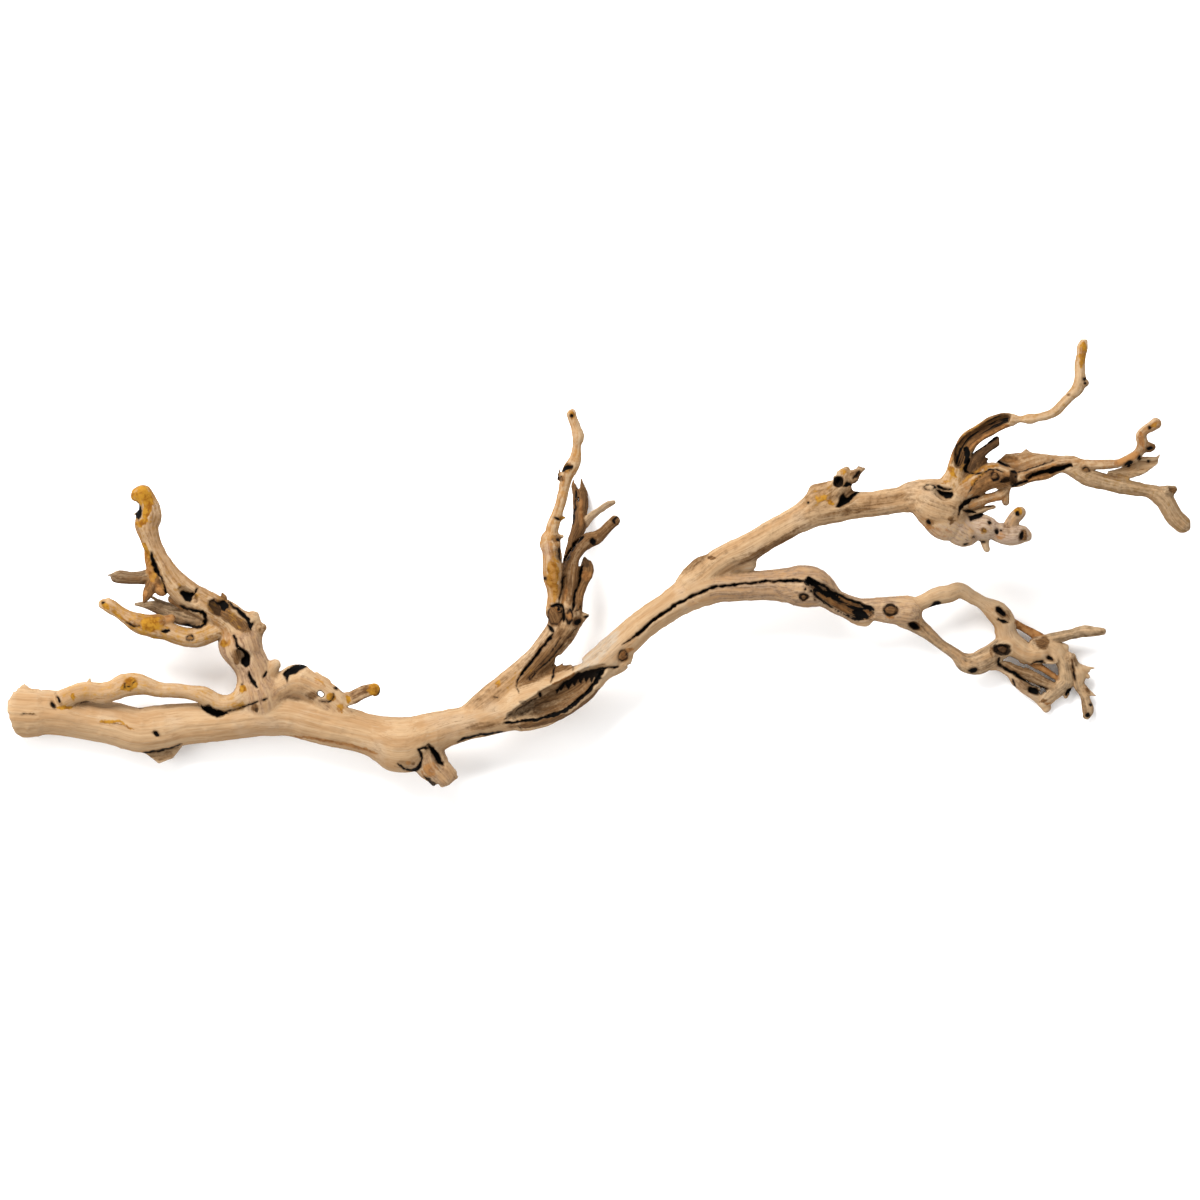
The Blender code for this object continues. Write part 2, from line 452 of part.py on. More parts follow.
def add_branch(parts, cutters):
    limbs = [
        tube(name, rounded_ends(stations), TUBE_STEPS, TUBE_SIDES, LOST_IN_FUSING)
        for name, stations in LIMBS.items()
    ]
    limbs += [sheet(name, *shape) for name, shape in SHEETS.items()]
    branch = bpy.data.objects.new("branch", joined(limbs, "branch"))
    branch.data.materials.append(wood_material())
    parts.objects.link(branch)

    fuse = branch.modifiers.new("Fuse", "REMESH")
    fuse.mode = "VOXEL"
    fuse.voxel_size = FUSE_VOXEL * SCALE
    fuse.use_smooth_shade = True
    smooth = branch.modifiers.new("Grow together", "SMOOTH")
    smooth.factor = 0.5
    smooth.iterations = SMOOTH_STEPS
    fewer = branch.modifiers.new("Facets", "DECIMATE")
    fewer.ratio = TRIANGLE_SHARE

    scoops = [
        tube(name, rounded_ends(stations), SCOOP_STEPS, SCOOP_SIDES) for name, stations in HOLLOWS.items()
    ]
    worn = branch.modifiers.new("Worn away", "BOOLEAN")
    worn.operation = "DIFFERENCE"
    worn.solver = "EXACT"
    worn.object = cutter("worn_away", joined(scoops + [floor_block()], "worn_away"), cutters)


def main():
    clear_scene()
    add_branch(new_collection("grapevine_branch"), new_collection("cutters"))


main()
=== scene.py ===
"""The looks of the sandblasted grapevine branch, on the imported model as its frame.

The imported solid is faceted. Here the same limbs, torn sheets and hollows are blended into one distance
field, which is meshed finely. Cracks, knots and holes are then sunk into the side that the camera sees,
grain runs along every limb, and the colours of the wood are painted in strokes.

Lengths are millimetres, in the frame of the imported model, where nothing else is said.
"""

import math

import bpy
import numpy as np
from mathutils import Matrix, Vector


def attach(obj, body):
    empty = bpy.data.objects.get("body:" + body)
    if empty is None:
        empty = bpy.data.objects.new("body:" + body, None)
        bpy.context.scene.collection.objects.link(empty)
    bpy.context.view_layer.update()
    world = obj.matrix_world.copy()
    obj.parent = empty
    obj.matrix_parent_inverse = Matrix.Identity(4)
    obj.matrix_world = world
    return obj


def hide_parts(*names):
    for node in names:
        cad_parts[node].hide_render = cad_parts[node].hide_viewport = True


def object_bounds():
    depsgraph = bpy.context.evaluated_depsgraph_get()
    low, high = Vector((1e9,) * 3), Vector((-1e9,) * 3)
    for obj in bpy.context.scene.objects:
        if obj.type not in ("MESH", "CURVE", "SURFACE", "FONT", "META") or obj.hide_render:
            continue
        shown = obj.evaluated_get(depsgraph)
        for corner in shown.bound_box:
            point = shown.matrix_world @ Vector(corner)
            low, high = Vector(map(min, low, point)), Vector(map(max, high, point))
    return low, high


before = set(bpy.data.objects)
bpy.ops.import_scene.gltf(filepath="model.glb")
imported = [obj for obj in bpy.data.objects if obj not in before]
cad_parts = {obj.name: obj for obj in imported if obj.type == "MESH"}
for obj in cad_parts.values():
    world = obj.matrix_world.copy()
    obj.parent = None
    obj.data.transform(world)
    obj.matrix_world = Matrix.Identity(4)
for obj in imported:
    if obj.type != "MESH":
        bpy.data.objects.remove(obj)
cad_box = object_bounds()

# A millimetre in metres
MM = 0.001

# The grid that the wood is worked out on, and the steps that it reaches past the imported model's box
STEP = 0.8
GRID_MARGIN = 2.5

# How far from a limb its distances are worked out, and a distance longer than any other
BAND = 5.0
FAR = 1e3

# The distance between the points of a limb's line, the skin's triangles, and its inset from the box
PATH_SPACING = 3.0
TRIANGLES = 194000
BOX_INSET = 0.05

# How much less readily a triangle goes for each tenth that the camera sees of it
KEPT_WEIGHT = 0.085

# How widely each kind of shape flows into the wood
LIMB_BLEND = 3.2
FINE_BLEND = 1.0
SHEET_BLEND = 1.2
HOLLOW_BLEND = 1.2
CUT_BLEND = 0.5
SLIT_BLEND = 0.4

# How far round a torn end and a slit the grid is worked on
CUT_MARGIN = 2
SLIT_MARGIN = 3

# The sawn butt: its half width, where its face stands, and how that face turns and tilts
BUTT_RADIUS = 19.0
BUTT_FACE = -450.6
BUTT_TURN = 0.035
BUTT_TILT = 0.02

# Heights of the weathered skin's relief
RIDGE_DEPTH = 0.2
STRIP_DEPTH = 0.28
FLUTE_DEPTH = 0.35
LUMP_DEPTH = 0.3
CREASE_DEPTH = 0.7

# How drawn edges waver: the size of the waves and of the ripples on them, the ripples' share, and how far
# the edges of marks, paint and slits stray
WAVE_SIZE = 4.3
RIPPLE_SIZE = 1.5
RIPPLE_SHARE = 0.55
MARK_WAVER = 0.6
PAINT_WAVER = 0.7
SLIT_WAVER = 0.3

# A line's ends: the length over which it thins, and the share of its width left at the very end
TAPER_LENGTH = 5
TAPER_END = 0.45

# Dark marks, whose black is painted shade deep in the cracks, pits and holes: how far from its edge a mark
# still counts, the share of its depth at the edge, the width over which the rest is added, how uneven a
# crack's width is, and the size of that unevenness
MARK_REACH = 4.0
MARK_RIM = 0.4
MARK_WALL = 1.1
UNEVEN_SHARE = 0.45
UNEVEN_SIZE = 2.6

# The least depth that is sunk, and the most as a share of the wood's thickness
LEAST_DEPTH = 0.05
MOST_DEPTH_SHARE = 0.5

# Knots: half the ring's width for each millimetre of its depth, how evenly black the ring is, how strong
# the paint of the middle is, and the colour of a middle that gets no paint
KNOT_RING = 0.45
KNOT_BLACKNESS = 0.7
KNOT_PAINT = 0.75
PLAIN = "tan"

# How far past its rim a spot of paint still counts, as a share of its longer half
SPOT_REACH = 1.4

# How far under the wood's upper side the camera surely sees it, and surely doesn't
SEEN_DEPTH = 6.5
HIDDEN_DEPTH = 9

# How far a limb's colour carries over to the next, and what keeps the grain of one limb off another's
TONE_REACH = 0.9
GRAIN_SHIFT_ALONG = 137.0
GRAIN_SHIFT_ACROSS = 31.0

# Painted shade in the hollows and on the wood's steep flanks, and painted highlight on raised parts: rounds
# of smoothing that find the hollows and raised parts, and how much painted shade the flanks add
SMOOTHING_ROUNDS = 10
FLANK_SHADE = 0.45

# The studio: each lamp's place, size and power, the sky's strength, how far the floor reaches, and how far
# it lies under the wood. These lengths are metres, and the power is watts.
LIGHTS = {
    "key_light": ((-1.2, 2.1, 2.5), 2.0, 225),
    "side_light": ((-2.4, -0.4, 2.0), 2.0, 40),
    "fill_light": ((2.3, -1.6, 2.2), 2.2, 20),
}
SKY_STRENGTH = 0.8
FLOOR_REACH = 8.0
FLOOR_DROP = 0.3 * MM

# The photo: the width that it shows at the wood's middle height, that height in metres, and the x and y of
# its middle
PHOTO_WIDTH = 914.4
PHOTO_LEVEL = 0.045
PHOTO_MIDDLE = (1.14, -27.4)

# The camera's lens and sensor
CAMERA_LENS = 600
CAMERA_SENSOR = 36

# How much of a colour read from the photo the wood gives back, under these lights
LIT_SHARE = 0.4

# Colours of the wood, as the photo shows them in even light, 0 to 255. Some are painted light: the shade
# colour is painted shade in the hollows and on the flanks, black is painted shade deep in the cracks, pits
# and holes, the low brown is also their painted shaded rim, and the pale hair colour is also a painted
# highlight on raised parts
COLOURS = {
    "tan": (232, 193, 147), "tan_low": (212, 167, 119), "tan_high": (236, 206, 170),
    "cream": (226, 211, 190), "cream_low": (204, 184, 160),
    "pink": (222, 184, 156), "pink_low": (196, 156, 128),
    "grey": (160, 134, 104), "grey_low": (114, 91, 66),
    "brown": (150, 109, 68), "brown_low": (98, 66, 38),
    "gold": (212, 152, 48), "gold_low": (160, 98, 20),
    "orange": (204, 146, 88), "orange_low": (160, 102, 52),
    "dark": (96, 68, 42), "dark_low": (30, 21, 14),
    "hair_dark": (150, 108, 68), "pale_hair_and_highlight": (243, 218, 182),
    "shade": (112, 80, 50), "crack": (86, 58, 34), "black": (9, 6, 4),
}

# The tones laid over the plain tan, in this order, and those that come in blotches
TONES = ("cream", "pink", "grey", "brown", "gold", "orange", "dark")
BLOTCHY_TONES = ("gold", "orange")

# Noise in the wood: the places that it follows, changes to a unit along and across, and fineness. The
# grain's unit is a millimetre, the other one a metre.
TEXTURES = {
    "hair": ("grain", 0.05, 1.15, 2.0),
    "fibre": ("grain", 0.022, 0.42, 3.0),
    "band": ("grain", 0.008, 0.13, 3.0),
    "patch": ("metres", 28.0, 28.0, 3.0),
    "speck": ("metres", 420.0, 420.0, 2.0),
    "blotch": ("metres", 220.0, 220.0, 3.0),
}

# The depth of the fine relief that the material alone gives
BUMP_DEPTH = 0.7 * MM

# The corners of a grid cell, and its edges as pairs of corners
CUBE = np.array([(n & 1, n >> 1 & 1, n >> 2 & 1) for n in range(8)])
CUBE_EDGES = [(a, a + step) for step in (1, 2, 4) for a in range(8) if not a & step]

# Stations of each limb's middle line: x, y, z and half width.
LIMBS = {
    "trunk": [
        (-449.5, -112.4, 17.5, 15.5), (-446, -112.8, 17.5, 18), (-436.5, -113.5, 17.5, BUTT_RADIUS),
        (-424, -113, 17, 17.4), (-410, -114, 16.5, 16.9), (-390, -118.3, 16.5, 15.6),
        (-370, -121.6, 18, 16.2), (-350, -126.6, 20, 17.2), (-335, -125, 21, 17.4),
        (-320, -122.6, 22, 16), (-300, -121, 24, 15.5), (-280, -119.3, 25.5, 14.8),
        (-260, -116, 27, 15.3), (-248, -115, 27.5, 16.2), (-240, -114.7, 28, 15.8),
        (-220, -119, 29, 15.8), (-200, -124, 30.5, 15.8), (-185, -127.3, 31.5, 15.4),
        (-172, -130.8, 32.5, 15.9), (-163, -133.5, 33, 17.6), (-150, -136, 34, 19.5),
        (-130, -129.8, 35.5, 16), (-115, -125, 36.5, 14), (-100, -121.5, 37.5, 13),
        (-85, -117.4, 38.5, 13.7), (-70, -112.5, 39.5, 15.2), (-50, -106, 41, 20),
        (-35, -101.6, 42, 18.2), (-20, -94.7, 43, 15.6), (-2, -78.8, 44, 12.8), (20, -58.4, 46, 11.8),
        (35, -45.2, 47, 11.3), (50, -34.7, 48, 11.5), (65, -25.3, 49, 12.1), (80, -19.2, 50, 12.2),
    ],
    "butt_lip": [(-447, -97.5, 18, 3), (-443, -95, 20, 3.2), (-438, -94, 21, 3.2), (-430, -95, 21, 2.6)],
    "bottom_knob": [
        (-160, -140, 34, 12), (-154, -144.3, 34, 14), (-145, -146, 33.5, 12.3), (-138, -147, 33, 10),
    ],
    "stub": [(-132, -137, 34, 13.5), (-128.5, -150.5, 32, 13), (-119, -161.6, 29.5, 12)],
    "scoop_rim": [(-8, -92.5, 44, 4.8), (8, -82.3, 45, 4.3), (20, -75.5, 46, 4.6), (24, -71, 46, 3)],
    "crotch_peg": [(-36, -88, 42, 8), (-28, -81, 43, 4.6), (-22, -78, 43.5, 3)],
    "side_twig": [
        (-407, -103, 28, 8), (-398, -98.8, 31, 7.3), (-390, -97, 32, 7.3), (-378, -98.2, 33, 8),
        (-370, -96.4, 34, 8), (-362, -92.8, 35, 8.9), (-352, -91.5, 35.5, 8.5), (-345, -92.9, 36, 7.2),
        (-335, -95.8, 36.5, 5.9), (-325, -96.2, 37, 5.7), (-310, -97.8, 37, 5.7),
        (-302.5, -99.5, 37, 6.8), (-295.5, -103.2, 37, 6.6), (-288, -106, 37, 6.4),
        (-280, -106, 37, 6.8), (-272, -101.5, 38, 7.5), (-266, -95, 38.5, 9),
    ],
    "crown_stem": [
        (-256, -110, 30, 14), (-258, -98, 34, 15.5), (-261.3, -88, 37, 13.7), (-264.2, -78, 39, 13.4),
        (-269.8, -68, 41, 14.6), (-273, -60, 42.5, 16.4), (-272, -54, 43, 13.5),
    ],
    "crown_burr": [(-270, -46, 43, 9.5), (-264, -42.5, 43, 6.5), (-261.5, -39.5, 43, 3.2)],
    "crown_burr_end": [(-266, -54, 42, 9), (-259, -49.3, 43, 5), (-255.8, -48.2, 44, 3.2)],
    "crown_upright": [
        (-273, -56, 43, 13), (-280, -43.5, 45, 13), (-292, -35.3, 47.5, 11.6),
        (-305, -27.8, 50.5, 10.7), (-316, -20.3, 53.5, 10.2), (-326, -9.8, 56.5, 8.7),
        (-333, 2, 59, 7.6), (-338.8, 13, 61.5, 7.4), (-342, 22, 63.5, 8), (-343.8, 30, 65, 9.2),
        (-341.8, 38, 66, 9.8), (-343.8, 46, 67.5, 8.3), (-346.8, 52.6, 69, 7.6),
    ],
    "crown_hook": [(-348, 54.5, 69, 4.8), (-351, 53.8, 69, 4.4), (-353, 50.8, 69, 2.8)],
    "crown_web": [(-298, -38, 43, 8), (-312, -32.5, 45, 5), (-325, -27, 48, 3.6)],
    "crown_strut": [
        (-341, 15, 61, 3.5), (-342, 6, 59, 4.2), (-340.5, -2, 56.5, 4.5), (-338.5, -9, 54.5, 4.8),
        (-336, -15, 53.5, 4.8), (-333, -19.2, 53, 5.2),
    ],
    "crown_peg": [(-339, -14, 54, 5), (-342.8, -22, 55, 4.4), (-345.8, -28.3, 55.5, 2.2)],
    "crown_grey_twig": [
        (-332, -7, 54, 6.5), (-342, -9.5, 52, 5.8), (-350, -10.3, 50, 5), (-358, -10.5, 48.5, 5),
        (-365, -9.9, 47, 5), (-368, -10.2, 46.3, 3.8),
    ],
    "crown_splinter": [
        (-298, -43, 41, 6.5), (-310, -41.4, 40, 6.8), (-320, -39.2, 39, 6.5), (-330, -35.8, 38, 5.4),
        (-338, -32.6, 37, 4.4), (-346, -31, 36, 2.6), (-353, -30.7, 35, 1.5),
    ],
    "crown_finger": [
        (-279, -48, 44, 9), (-288, -48.5, 45, 8.5), (-297, -52, 46, 8), (-307, -55.8, 47, 8),
        (-318, -55, 48, 7.2), (-330, -50.8, 49, 7.5), (-340, -48.2, 50, 8.2), (-350, -45.2, 50.5, 7.6),
        (-358, -41, 51, 5.6), (-366, -36, 51.5, 4.8), (-372, -32, 52, 5.2), (-377, -30.3, 52, 3.9),
    ],
    "hump": [
        (-256, -100, 34, 14), (-243, -94, 36, 9.6), (-230, -88.8, 37, 12.4), (-218, -92.8, 36.5, 12),
        (-206, -100.5, 35, 12.6), (-195, -109.5, 33.5, 10.8),
    ],
    "hump_knob": [(-252, -82, 40, 6.5), (-246.8, -76.8, 42, 4.4)],
    "hump_twig": [
        (-200, -107, 34, 7), (-191.5, -104.6, 34.5, 5.6), (-185, -101.2, 35, 5.6), (-178, -98, 36, 5.6),
        (-171, -95.8, 36.5, 5),
    ],
    "spur_stem": [
        (-95, -114.5, 38, 10.3), (-81, -104.5, 39, 12.6), (-68.3, -94.3, 39.5, 12.5),
        (-51.3, -79, 41, 11.8), (-37.3, -62.6, 42.5, 11.1), (-27.5, -48.5, 43.5, 12.2),
        (-25, -39, 44, 12.7), (-25, -32, 44.5, 9),
    ],
    "spur_spike": [(-16, -42, 44, 6), (-11.5, -39.8, 44, 3), (-8.8, -39.5, 44, 1.6)],
    "spur_burl": [(-30, -44, 48, 7), (-33, -37, 50, 7.5)],
    "spur_twig": [
        (-33, -34, 50, 7), (-33.3, -22, 52.5, 5.6), (-35, -12, 55, 6.6), (-35.3, -3, 57, 7.6),
        (-35, 5, 58.5, 7.5), (-35.8, 11, 60, 7.3), (-36.6, 15.5, 61, 8), (-35.2, 24, 62, 5.3),
        (-34.3, 30, 63, 5), (-31.2, 38, 64, 4.1), (-28.3, 48, 65.5, 3.9), (-26, 58, 67, 4.1),
        (-24.6, 65, 68, 4.9), (-21.8, 71, 69, 5.8), (-18.8, 77, 70, 5.2), (-17, 84, 71, 3.9),
        (-16.3, 91, 72, 3.5), (-15.3, 97, 72.5, 4.8), (-17, 104, 73, 3.8), (-19.3, 110, 73.5, 3.7),
        (-20.4, 114, 74, 3.8),
    ],
    "spur_middle": [
        (-23, -34, 46, 6.5), (-21.5, -18, 46.5, 6), (-20.5, -5, 46, 6.5), (-18, 5, 45, 5.5),
        (-13, 12.5, 44, 5), (-8, 18, 43.5, 6.2), (-2.5, 19.5, 43, 5.4), (3, 23.8, 43, 4.1),
        (8, 29, 43.5, 3.8), (12.5, 33, 44, 4),
    ],
    "spur_plank": [
        (-25, -16, 38, 6), (-24.5, -6, 34, 4.8), (-22.5, 6, 29, 4), (-19.5, 17, 24, 4.6),
        (-15, 28, 18, 5.6), (-14, 40, 11.5, 5.6), (-13.6, 50, 5.8, 6.2), (-14.5, 56, 4.2, 5.2),
    ],
    "spur_plank_tips": [(-17, 55, 3.4, 3.4), (-18.2, 60, 3.4, 2.6), (-19, 64, 3.6, 1.4)],
    "spur_plank_tips_right": [(-13.5, 55, 3.4, 3.4), (-13.5, 60, 3.4, 2.6), (-13.3, 64.5, 3.6, 1.4)],
    "spur_side_splinter": [
        (-11, 31, 16.5, 3.8), (-6, 36, 18, 2.8), (1, 41.2, 19.5, 2.2), (8, 45.7, 21, 2.5),
        (12, 47.2, 21.5, 1.8),
    ],
    "spur_bulb": [
        (-18, -36, 46, 5.5), (-14.8, -22, 45, 4.2), (-11.5, -13, 44, 4.3), (-9.3, -5, 43, 5.7),
        (-9.8, 0, 42, 4.8), (-10.3, 3.5, 41.5, 2.6),
    ],
    "lower_limb": [
        (65, -25, 49, 11.9), (80, -19, 50, 12.5), (92, -17, 50, 12), (105, -17.2, 49.5, 11.6),
        (120, -16.5, 49, 11.5), (135, -16.3, 48, 12.2), (148, -16.6, 46.8, 14.2), (157, -16.8, 46, 16),
        (164, -17.6, 44.8, 14.9), (170, -20.1, 43.5, 12), (175, -24, 42.5, 9.9), (180, -28, 41, 8.8),
        (189, -32.2, 39, 9.2), (200, -35.6, 36.5, 10), (210, -34.5, 34.5, 8.8), (222, -35, 33, 10.8),
        (235, -36.5, 31.5, 11.5),
    ],
    "limb_point": [(199, -38.5, 35, 8), (204, -43.5, 34.5, 4.4)],
    "upper_arm": [
        (233, -34, 31.5, 9.2), (245, -29.7, 31, 5.7), (252, -26.8, 30.5, 6.3), (262, -23.4, 29.5, 6.9),
        (268, -22.4, 29, 6.8), (274, -20.2, 28, 6.3), (285, -25.2, 25.5, 5.3), (295.3, -30.7, 23, 5.7),
        (304.5, -37, 20.5, 8.3), (309.8, -45, 18, 8.6), (311.3, -53, 16.5, 8.2),
        (317, -61.2, 15.5, 8.4), (327, -67.5, 14.5, 7.8), (338, -67.5, 14.5, 8),
    ],
    "lower_arm": [
        (235, -41, 31, 8), (243, -46.4, 29.5, 6.6), (250.2, -52.1, 27.5, 5), (257.2, -57.8, 25.5, 4.3),
        (265.3, -64, 23.5, 4), (272.4, -69.1, 21.5, 4.5), (280, -75, 19.5, 7), (287, -76.2, 18, 8.4),
        (296, -72.4, 16.5, 8.9), (305, -66.3, 16, 8.3), (312, -61, 15.5, 8.5),
    ],
    "right_strand": [
        (336, -63, 15, 8), (343, -61.5, 15, 5.5), (349.8, -65.3, 14, 6), (354, -72.5, 12.5, 5.8),
        (356.5, -81, 10.5, 5.6), (357, -90, 8.5, 6), (350.3, -95.5, 6.5, 6.4), (345, -100.3, 5.3, 5.8),
        (340.5, -105.7, 4.5, 4.6),
    ],
    "cross_pegs": [(358, -93, 8, 4), (357.5, -98, 7.5, 2.6), (356.8, -101, 7, 1.6)],
    "far_strand": [
        (361.3, -71.3, 15, 3), (363.5, -77, 13, 3.8), (367.3, -83, 10.5, 5), (367, -92, 9, 4.3),
        (370.6, -100, 7.5, 3.6), (373.4, -107.5, 6, 4.5), (374, -112, 5.5, 4.5),
        (373.1, -115.6, 5.5, 3.2),
    ],
    "far_strand_barb": [(365, -80, 11, 4.5), (369.5, -80.5, 11, 3.6), (374, -81, 11, 1.6)],
    "far_strand_knob": [(370, -95, 8.5, 3.8), (373.5, -97.6, 8.5, 2.8), (376.3, -98.8, 8.5, 1.6)],
    "far_strand_crumbs": [(352, -64, 14, 4), (356.6, -64, 14, 2.6)],
    "grey_strand": [
        (304, -72.5, 16, 3.2), (312, -77.2, 15, 3.1), (319, -81, 13.5, 3.8), (327, -83.4, 12, 5),
        (335, -87.2, 10.5, 5), (343, -91, 9, 4.5), (352, -94, 7.5, 4.5),
    ],
    "lower_strand": [
        (298, -75, 15, 6), (307, -78.7, 13, 3.9), (314, -82.7, 11.5, 3.9), (319.8, -89.2, 9.8, 4.6),
        (325, -94, 8.3, 4.6), (331, -98.5, 6.8, 4.1), (337, -104, 5, 3.4), (342.5, -110, 3.4, 3.4),
    ],
    "strand_web": [(326, -92.5, 8, 3.4), (332, -95, 7.5, 2.6), (337.3, -95.6, 7.5, 1.6)],
    "torn_strand": [
        (324, -72.5, 13, 3.6), (332, -76.2, 11.5, 3.4), (340, -80.2, 11, 2.6), (347, -85, 10, 2.4),
        (351, -88, 9, 2.2),
    ],
    "orange_strip": [
        (311, -41.5, 16, 3.5), (320, -46.3, 13, 3), (327, -50.1, 12, 3), (333, -53.8, 12, 3.4),
        (339, -58.2, 12.5, 4.2),
    ],
    "lower_grey_twig": [
        (340, -59, 14, 4), (346, -56.5, 15, 4), (353, -55.2, 16, 4.2), (362, -53.2, 18, 4.2),
        (371, -51, 20, 4.5), (379, -51.5, 21, 3.8), (384.5, -51.4, 21.5, 3),
    ],
    "upper_limb": [
        (71, -15, 50, 11.5), (81.5, -7.4, 51.5, 10.7), (90.4, 0.3, 53, 10.5), (100.4, 6.6, 54.5, 10.5),
        (113.3, 12, 57, 10.9), (125.2, 19, 59.5, 10.4), (140, 27.5, 62.5, 10.2), (155, 35.6, 65.5, 11),
        (168, 42.2, 68, 13.2), (180, 44.3, 70, 13.2), (190, 44.8, 71.5, 11.4), (200, 45.2, 73, 10.1),
        (210, 46, 74, 9.7), (220, 47.4, 75.5, 9.7), (230, 49.1, 77, 9.9), (240, 50.9, 78, 12.3),
        (248, 49.8, 79, 14.8), (257, 46.2, 80, 18.2), (264, 44, 80, 17),
    ],
    "crotch_web": [(96, -6, 52, 6), (107, -1.2, 52.5, 5), (115, 0.6, 54, 5.6)],
    "torn_flap": [(69, -7.5, 52, 5.6), (77, 1.6, 54, 4), (82.5, 4.6, 56, 2.8), (86.5, 5.3, 57, 1.8)],
    "knob_stump": [
        (168, 47.5, 72, 11), (178, 53.5, 76, 8.5), (184.6, 61.5, 79, 7.2), (186.7, 67.2, 80, 6.4),
        (189.3, 71.2, 80.5, 4),
    ],
    "stump_neck": [(184, 54, 77, 6), (192, 59.2, 78, 4.4)],
    "knob_twiglet": [
        (188, 66.5, 80, 4.8), (195, 67.6, 80, 5.4), (198.3, 71, 80.5, 3.8), (201.7, 72.3, 81, 2.4),
    ],
    "crown_lobe": [
        (256, 46, 79, 16), (259, 38, 77, 15), (263.5, 33.4, 77, 15), (271, 29, 75, 12.2),
        (277.5, 24.3, 74, 11.3), (284, 22.4, 73.5, 6.6),
    ],
    "pale_lumps": [
        (279, 30, 74, 9), (286, 30, 74, 8.5), (292.5, 28.2, 73, 9.8), (300, 25.8, 72, 7.3),
        (308, 22.7, 71, 7.7), (315, 22.2, 70, 7.9), (321, 22.6, 69.5, 7), (325.5, 21.5, 69, 4.4),
    ],
    "pale_peg": [(293.3, 20, 72, 4.2), (294.2, 14.3, 71, 3.2), (295.3, 11.3, 70.5, 2.6)],
    "pale_twig": [
        (312.3, 25, 70, 5.4), (314.2, 31.5, 71, 5.3), (318.2, 37, 72.5, 5.2), (320.4, 39.3, 74, 4.6),
    ],
    "scooped_limb": [
        (265, 50, 80, 13), (269.5, 62, 81, 9), (272, 70, 82, 7.5), (274.2, 78, 83.5, 7.4),
        (277.2, 86.5, 85, 7.3), (281.4, 93.7, 87, 7), (288, 98.7, 89, 6.3), (295, 102.9, 91, 6.7),
        (300, 105.9, 92, 6.6), (305, 108, 93, 6.3), (310.6, 109.3, 94, 5.9), (316, 109.6, 95, 4.3),
        (320.5, 109.8, 95.5, 3.1), (326, 110, 96.5, 4.2), (334, 111.2, 98, 3.3), (341, 113, 99, 3.5),
        (346.7, 115.7, 100, 4), (352.3, 121.3, 101, 3.7), (358, 127.2, 101.5, 3.9),
        (363.7, 133.3, 101, 4.8), (365.3, 140, 100.5, 4.6), (365.2, 148, 99.5, 4),
        (365.6, 154, 98.5, 3.7), (366.6, 160, 97.5, 3.9), (367.6, 165, 96.5, 4.2),
        (368.7, 168.3, 95.8, 3.1),
    ],
    "scooped_limb_knot": [(366, 135.5, 101, 3.8), (369.6, 137.3, 101, 3)],
    "dark_stub": [
        (281, 65, 80, 6.5), (286, 73, 82, 6.8), (288.6, 79.2, 84, 5.9), (293.2, 83.8, 86, 5.2),
        (299, 88.7, 88, 5), (303.2, 92.6, 89.5, 4.4),
    ],
    "running_limb": [
        (270, 50, 80, 12), (282, 57.5, 81, 9.5), (291, 63.6, 82, 9.8), (300, 67.2, 82.5, 10),
        (310, 65.8, 82, 8.7), (320, 65.4, 81, 6.3), (330, 68.2, 80, 5.7), (340, 70.8, 79, 6.4),
        (350, 74.2, 78, 5.4), (358, 75.3, 77.5, 4.8), (365, 76, 77, 4), (372, 75.6, 77.5, 3.9),
        (380, 75.4, 78, 3.7), (390, 76, 79, 3.6), (398, 77.2, 80, 3.7), (405.3, 80.2, 81.5, 4.2),
        (411, 85.2, 83, 4), (413.6, 91.3, 84.5, 4.3), (412.4, 97.3, 86, 4.1), (415, 101.4, 87, 3.7),
        (419, 103.8, 88, 3.8), (423.5, 106.5, 89, 4.4),
    ],
    "running_knob": [(414, 89, 84, 3.8), (418.5, 88.7, 84, 3.9), (420.8, 88.7, 84, 3)],
    "outer_branch": [
        (356, 73.5, 76, 4.6), (363, 70.3, 75, 5.7), (370, 66.6, 74.5, 6.8), (378, 64.2, 74, 6.5),
        (388, 61.7, 73.5, 6.4), (398, 59.5, 73, 6.1), (408, 57.5, 72, 5.6), (418, 55.4, 70.5, 5.4),
        (426, 52.3, 69, 6.9), (431.5, 47.3, 67.5, 7.2), (435, 41.2, 66, 7.1), (439.3, 34.9, 64.5, 7),
        (444.4, 30.2, 63, 6.8),
    ],
    "outer_corner": [(431.5, 54, 69, 5.9), (437.4, 56.9, 69, 3.2)],
    "inner_strand": [
        (275, 41, 79, 4.6), (284, 45.8, 79.5, 5), (292, 48.7, 80, 4.5), (300, 50.9, 80, 3.6),
        (306, 52.7, 80, 4.3), (310, 57, 80, 3.8),
    ],
    "inner_peg": [(309.7, 56, 79.5, 3.4), (309.7, 50, 79, 3.2), (309.7, 47.2, 78.5, 3)],
    "inner_splinter": [
        (273, 38, 77, 4.5), (284, 38.7, 77, 3), (291, 40.7, 77, 2.6), (297.5, 43, 77, 1.7),
        (301, 43.2, 77, 1.4),
    ],
}

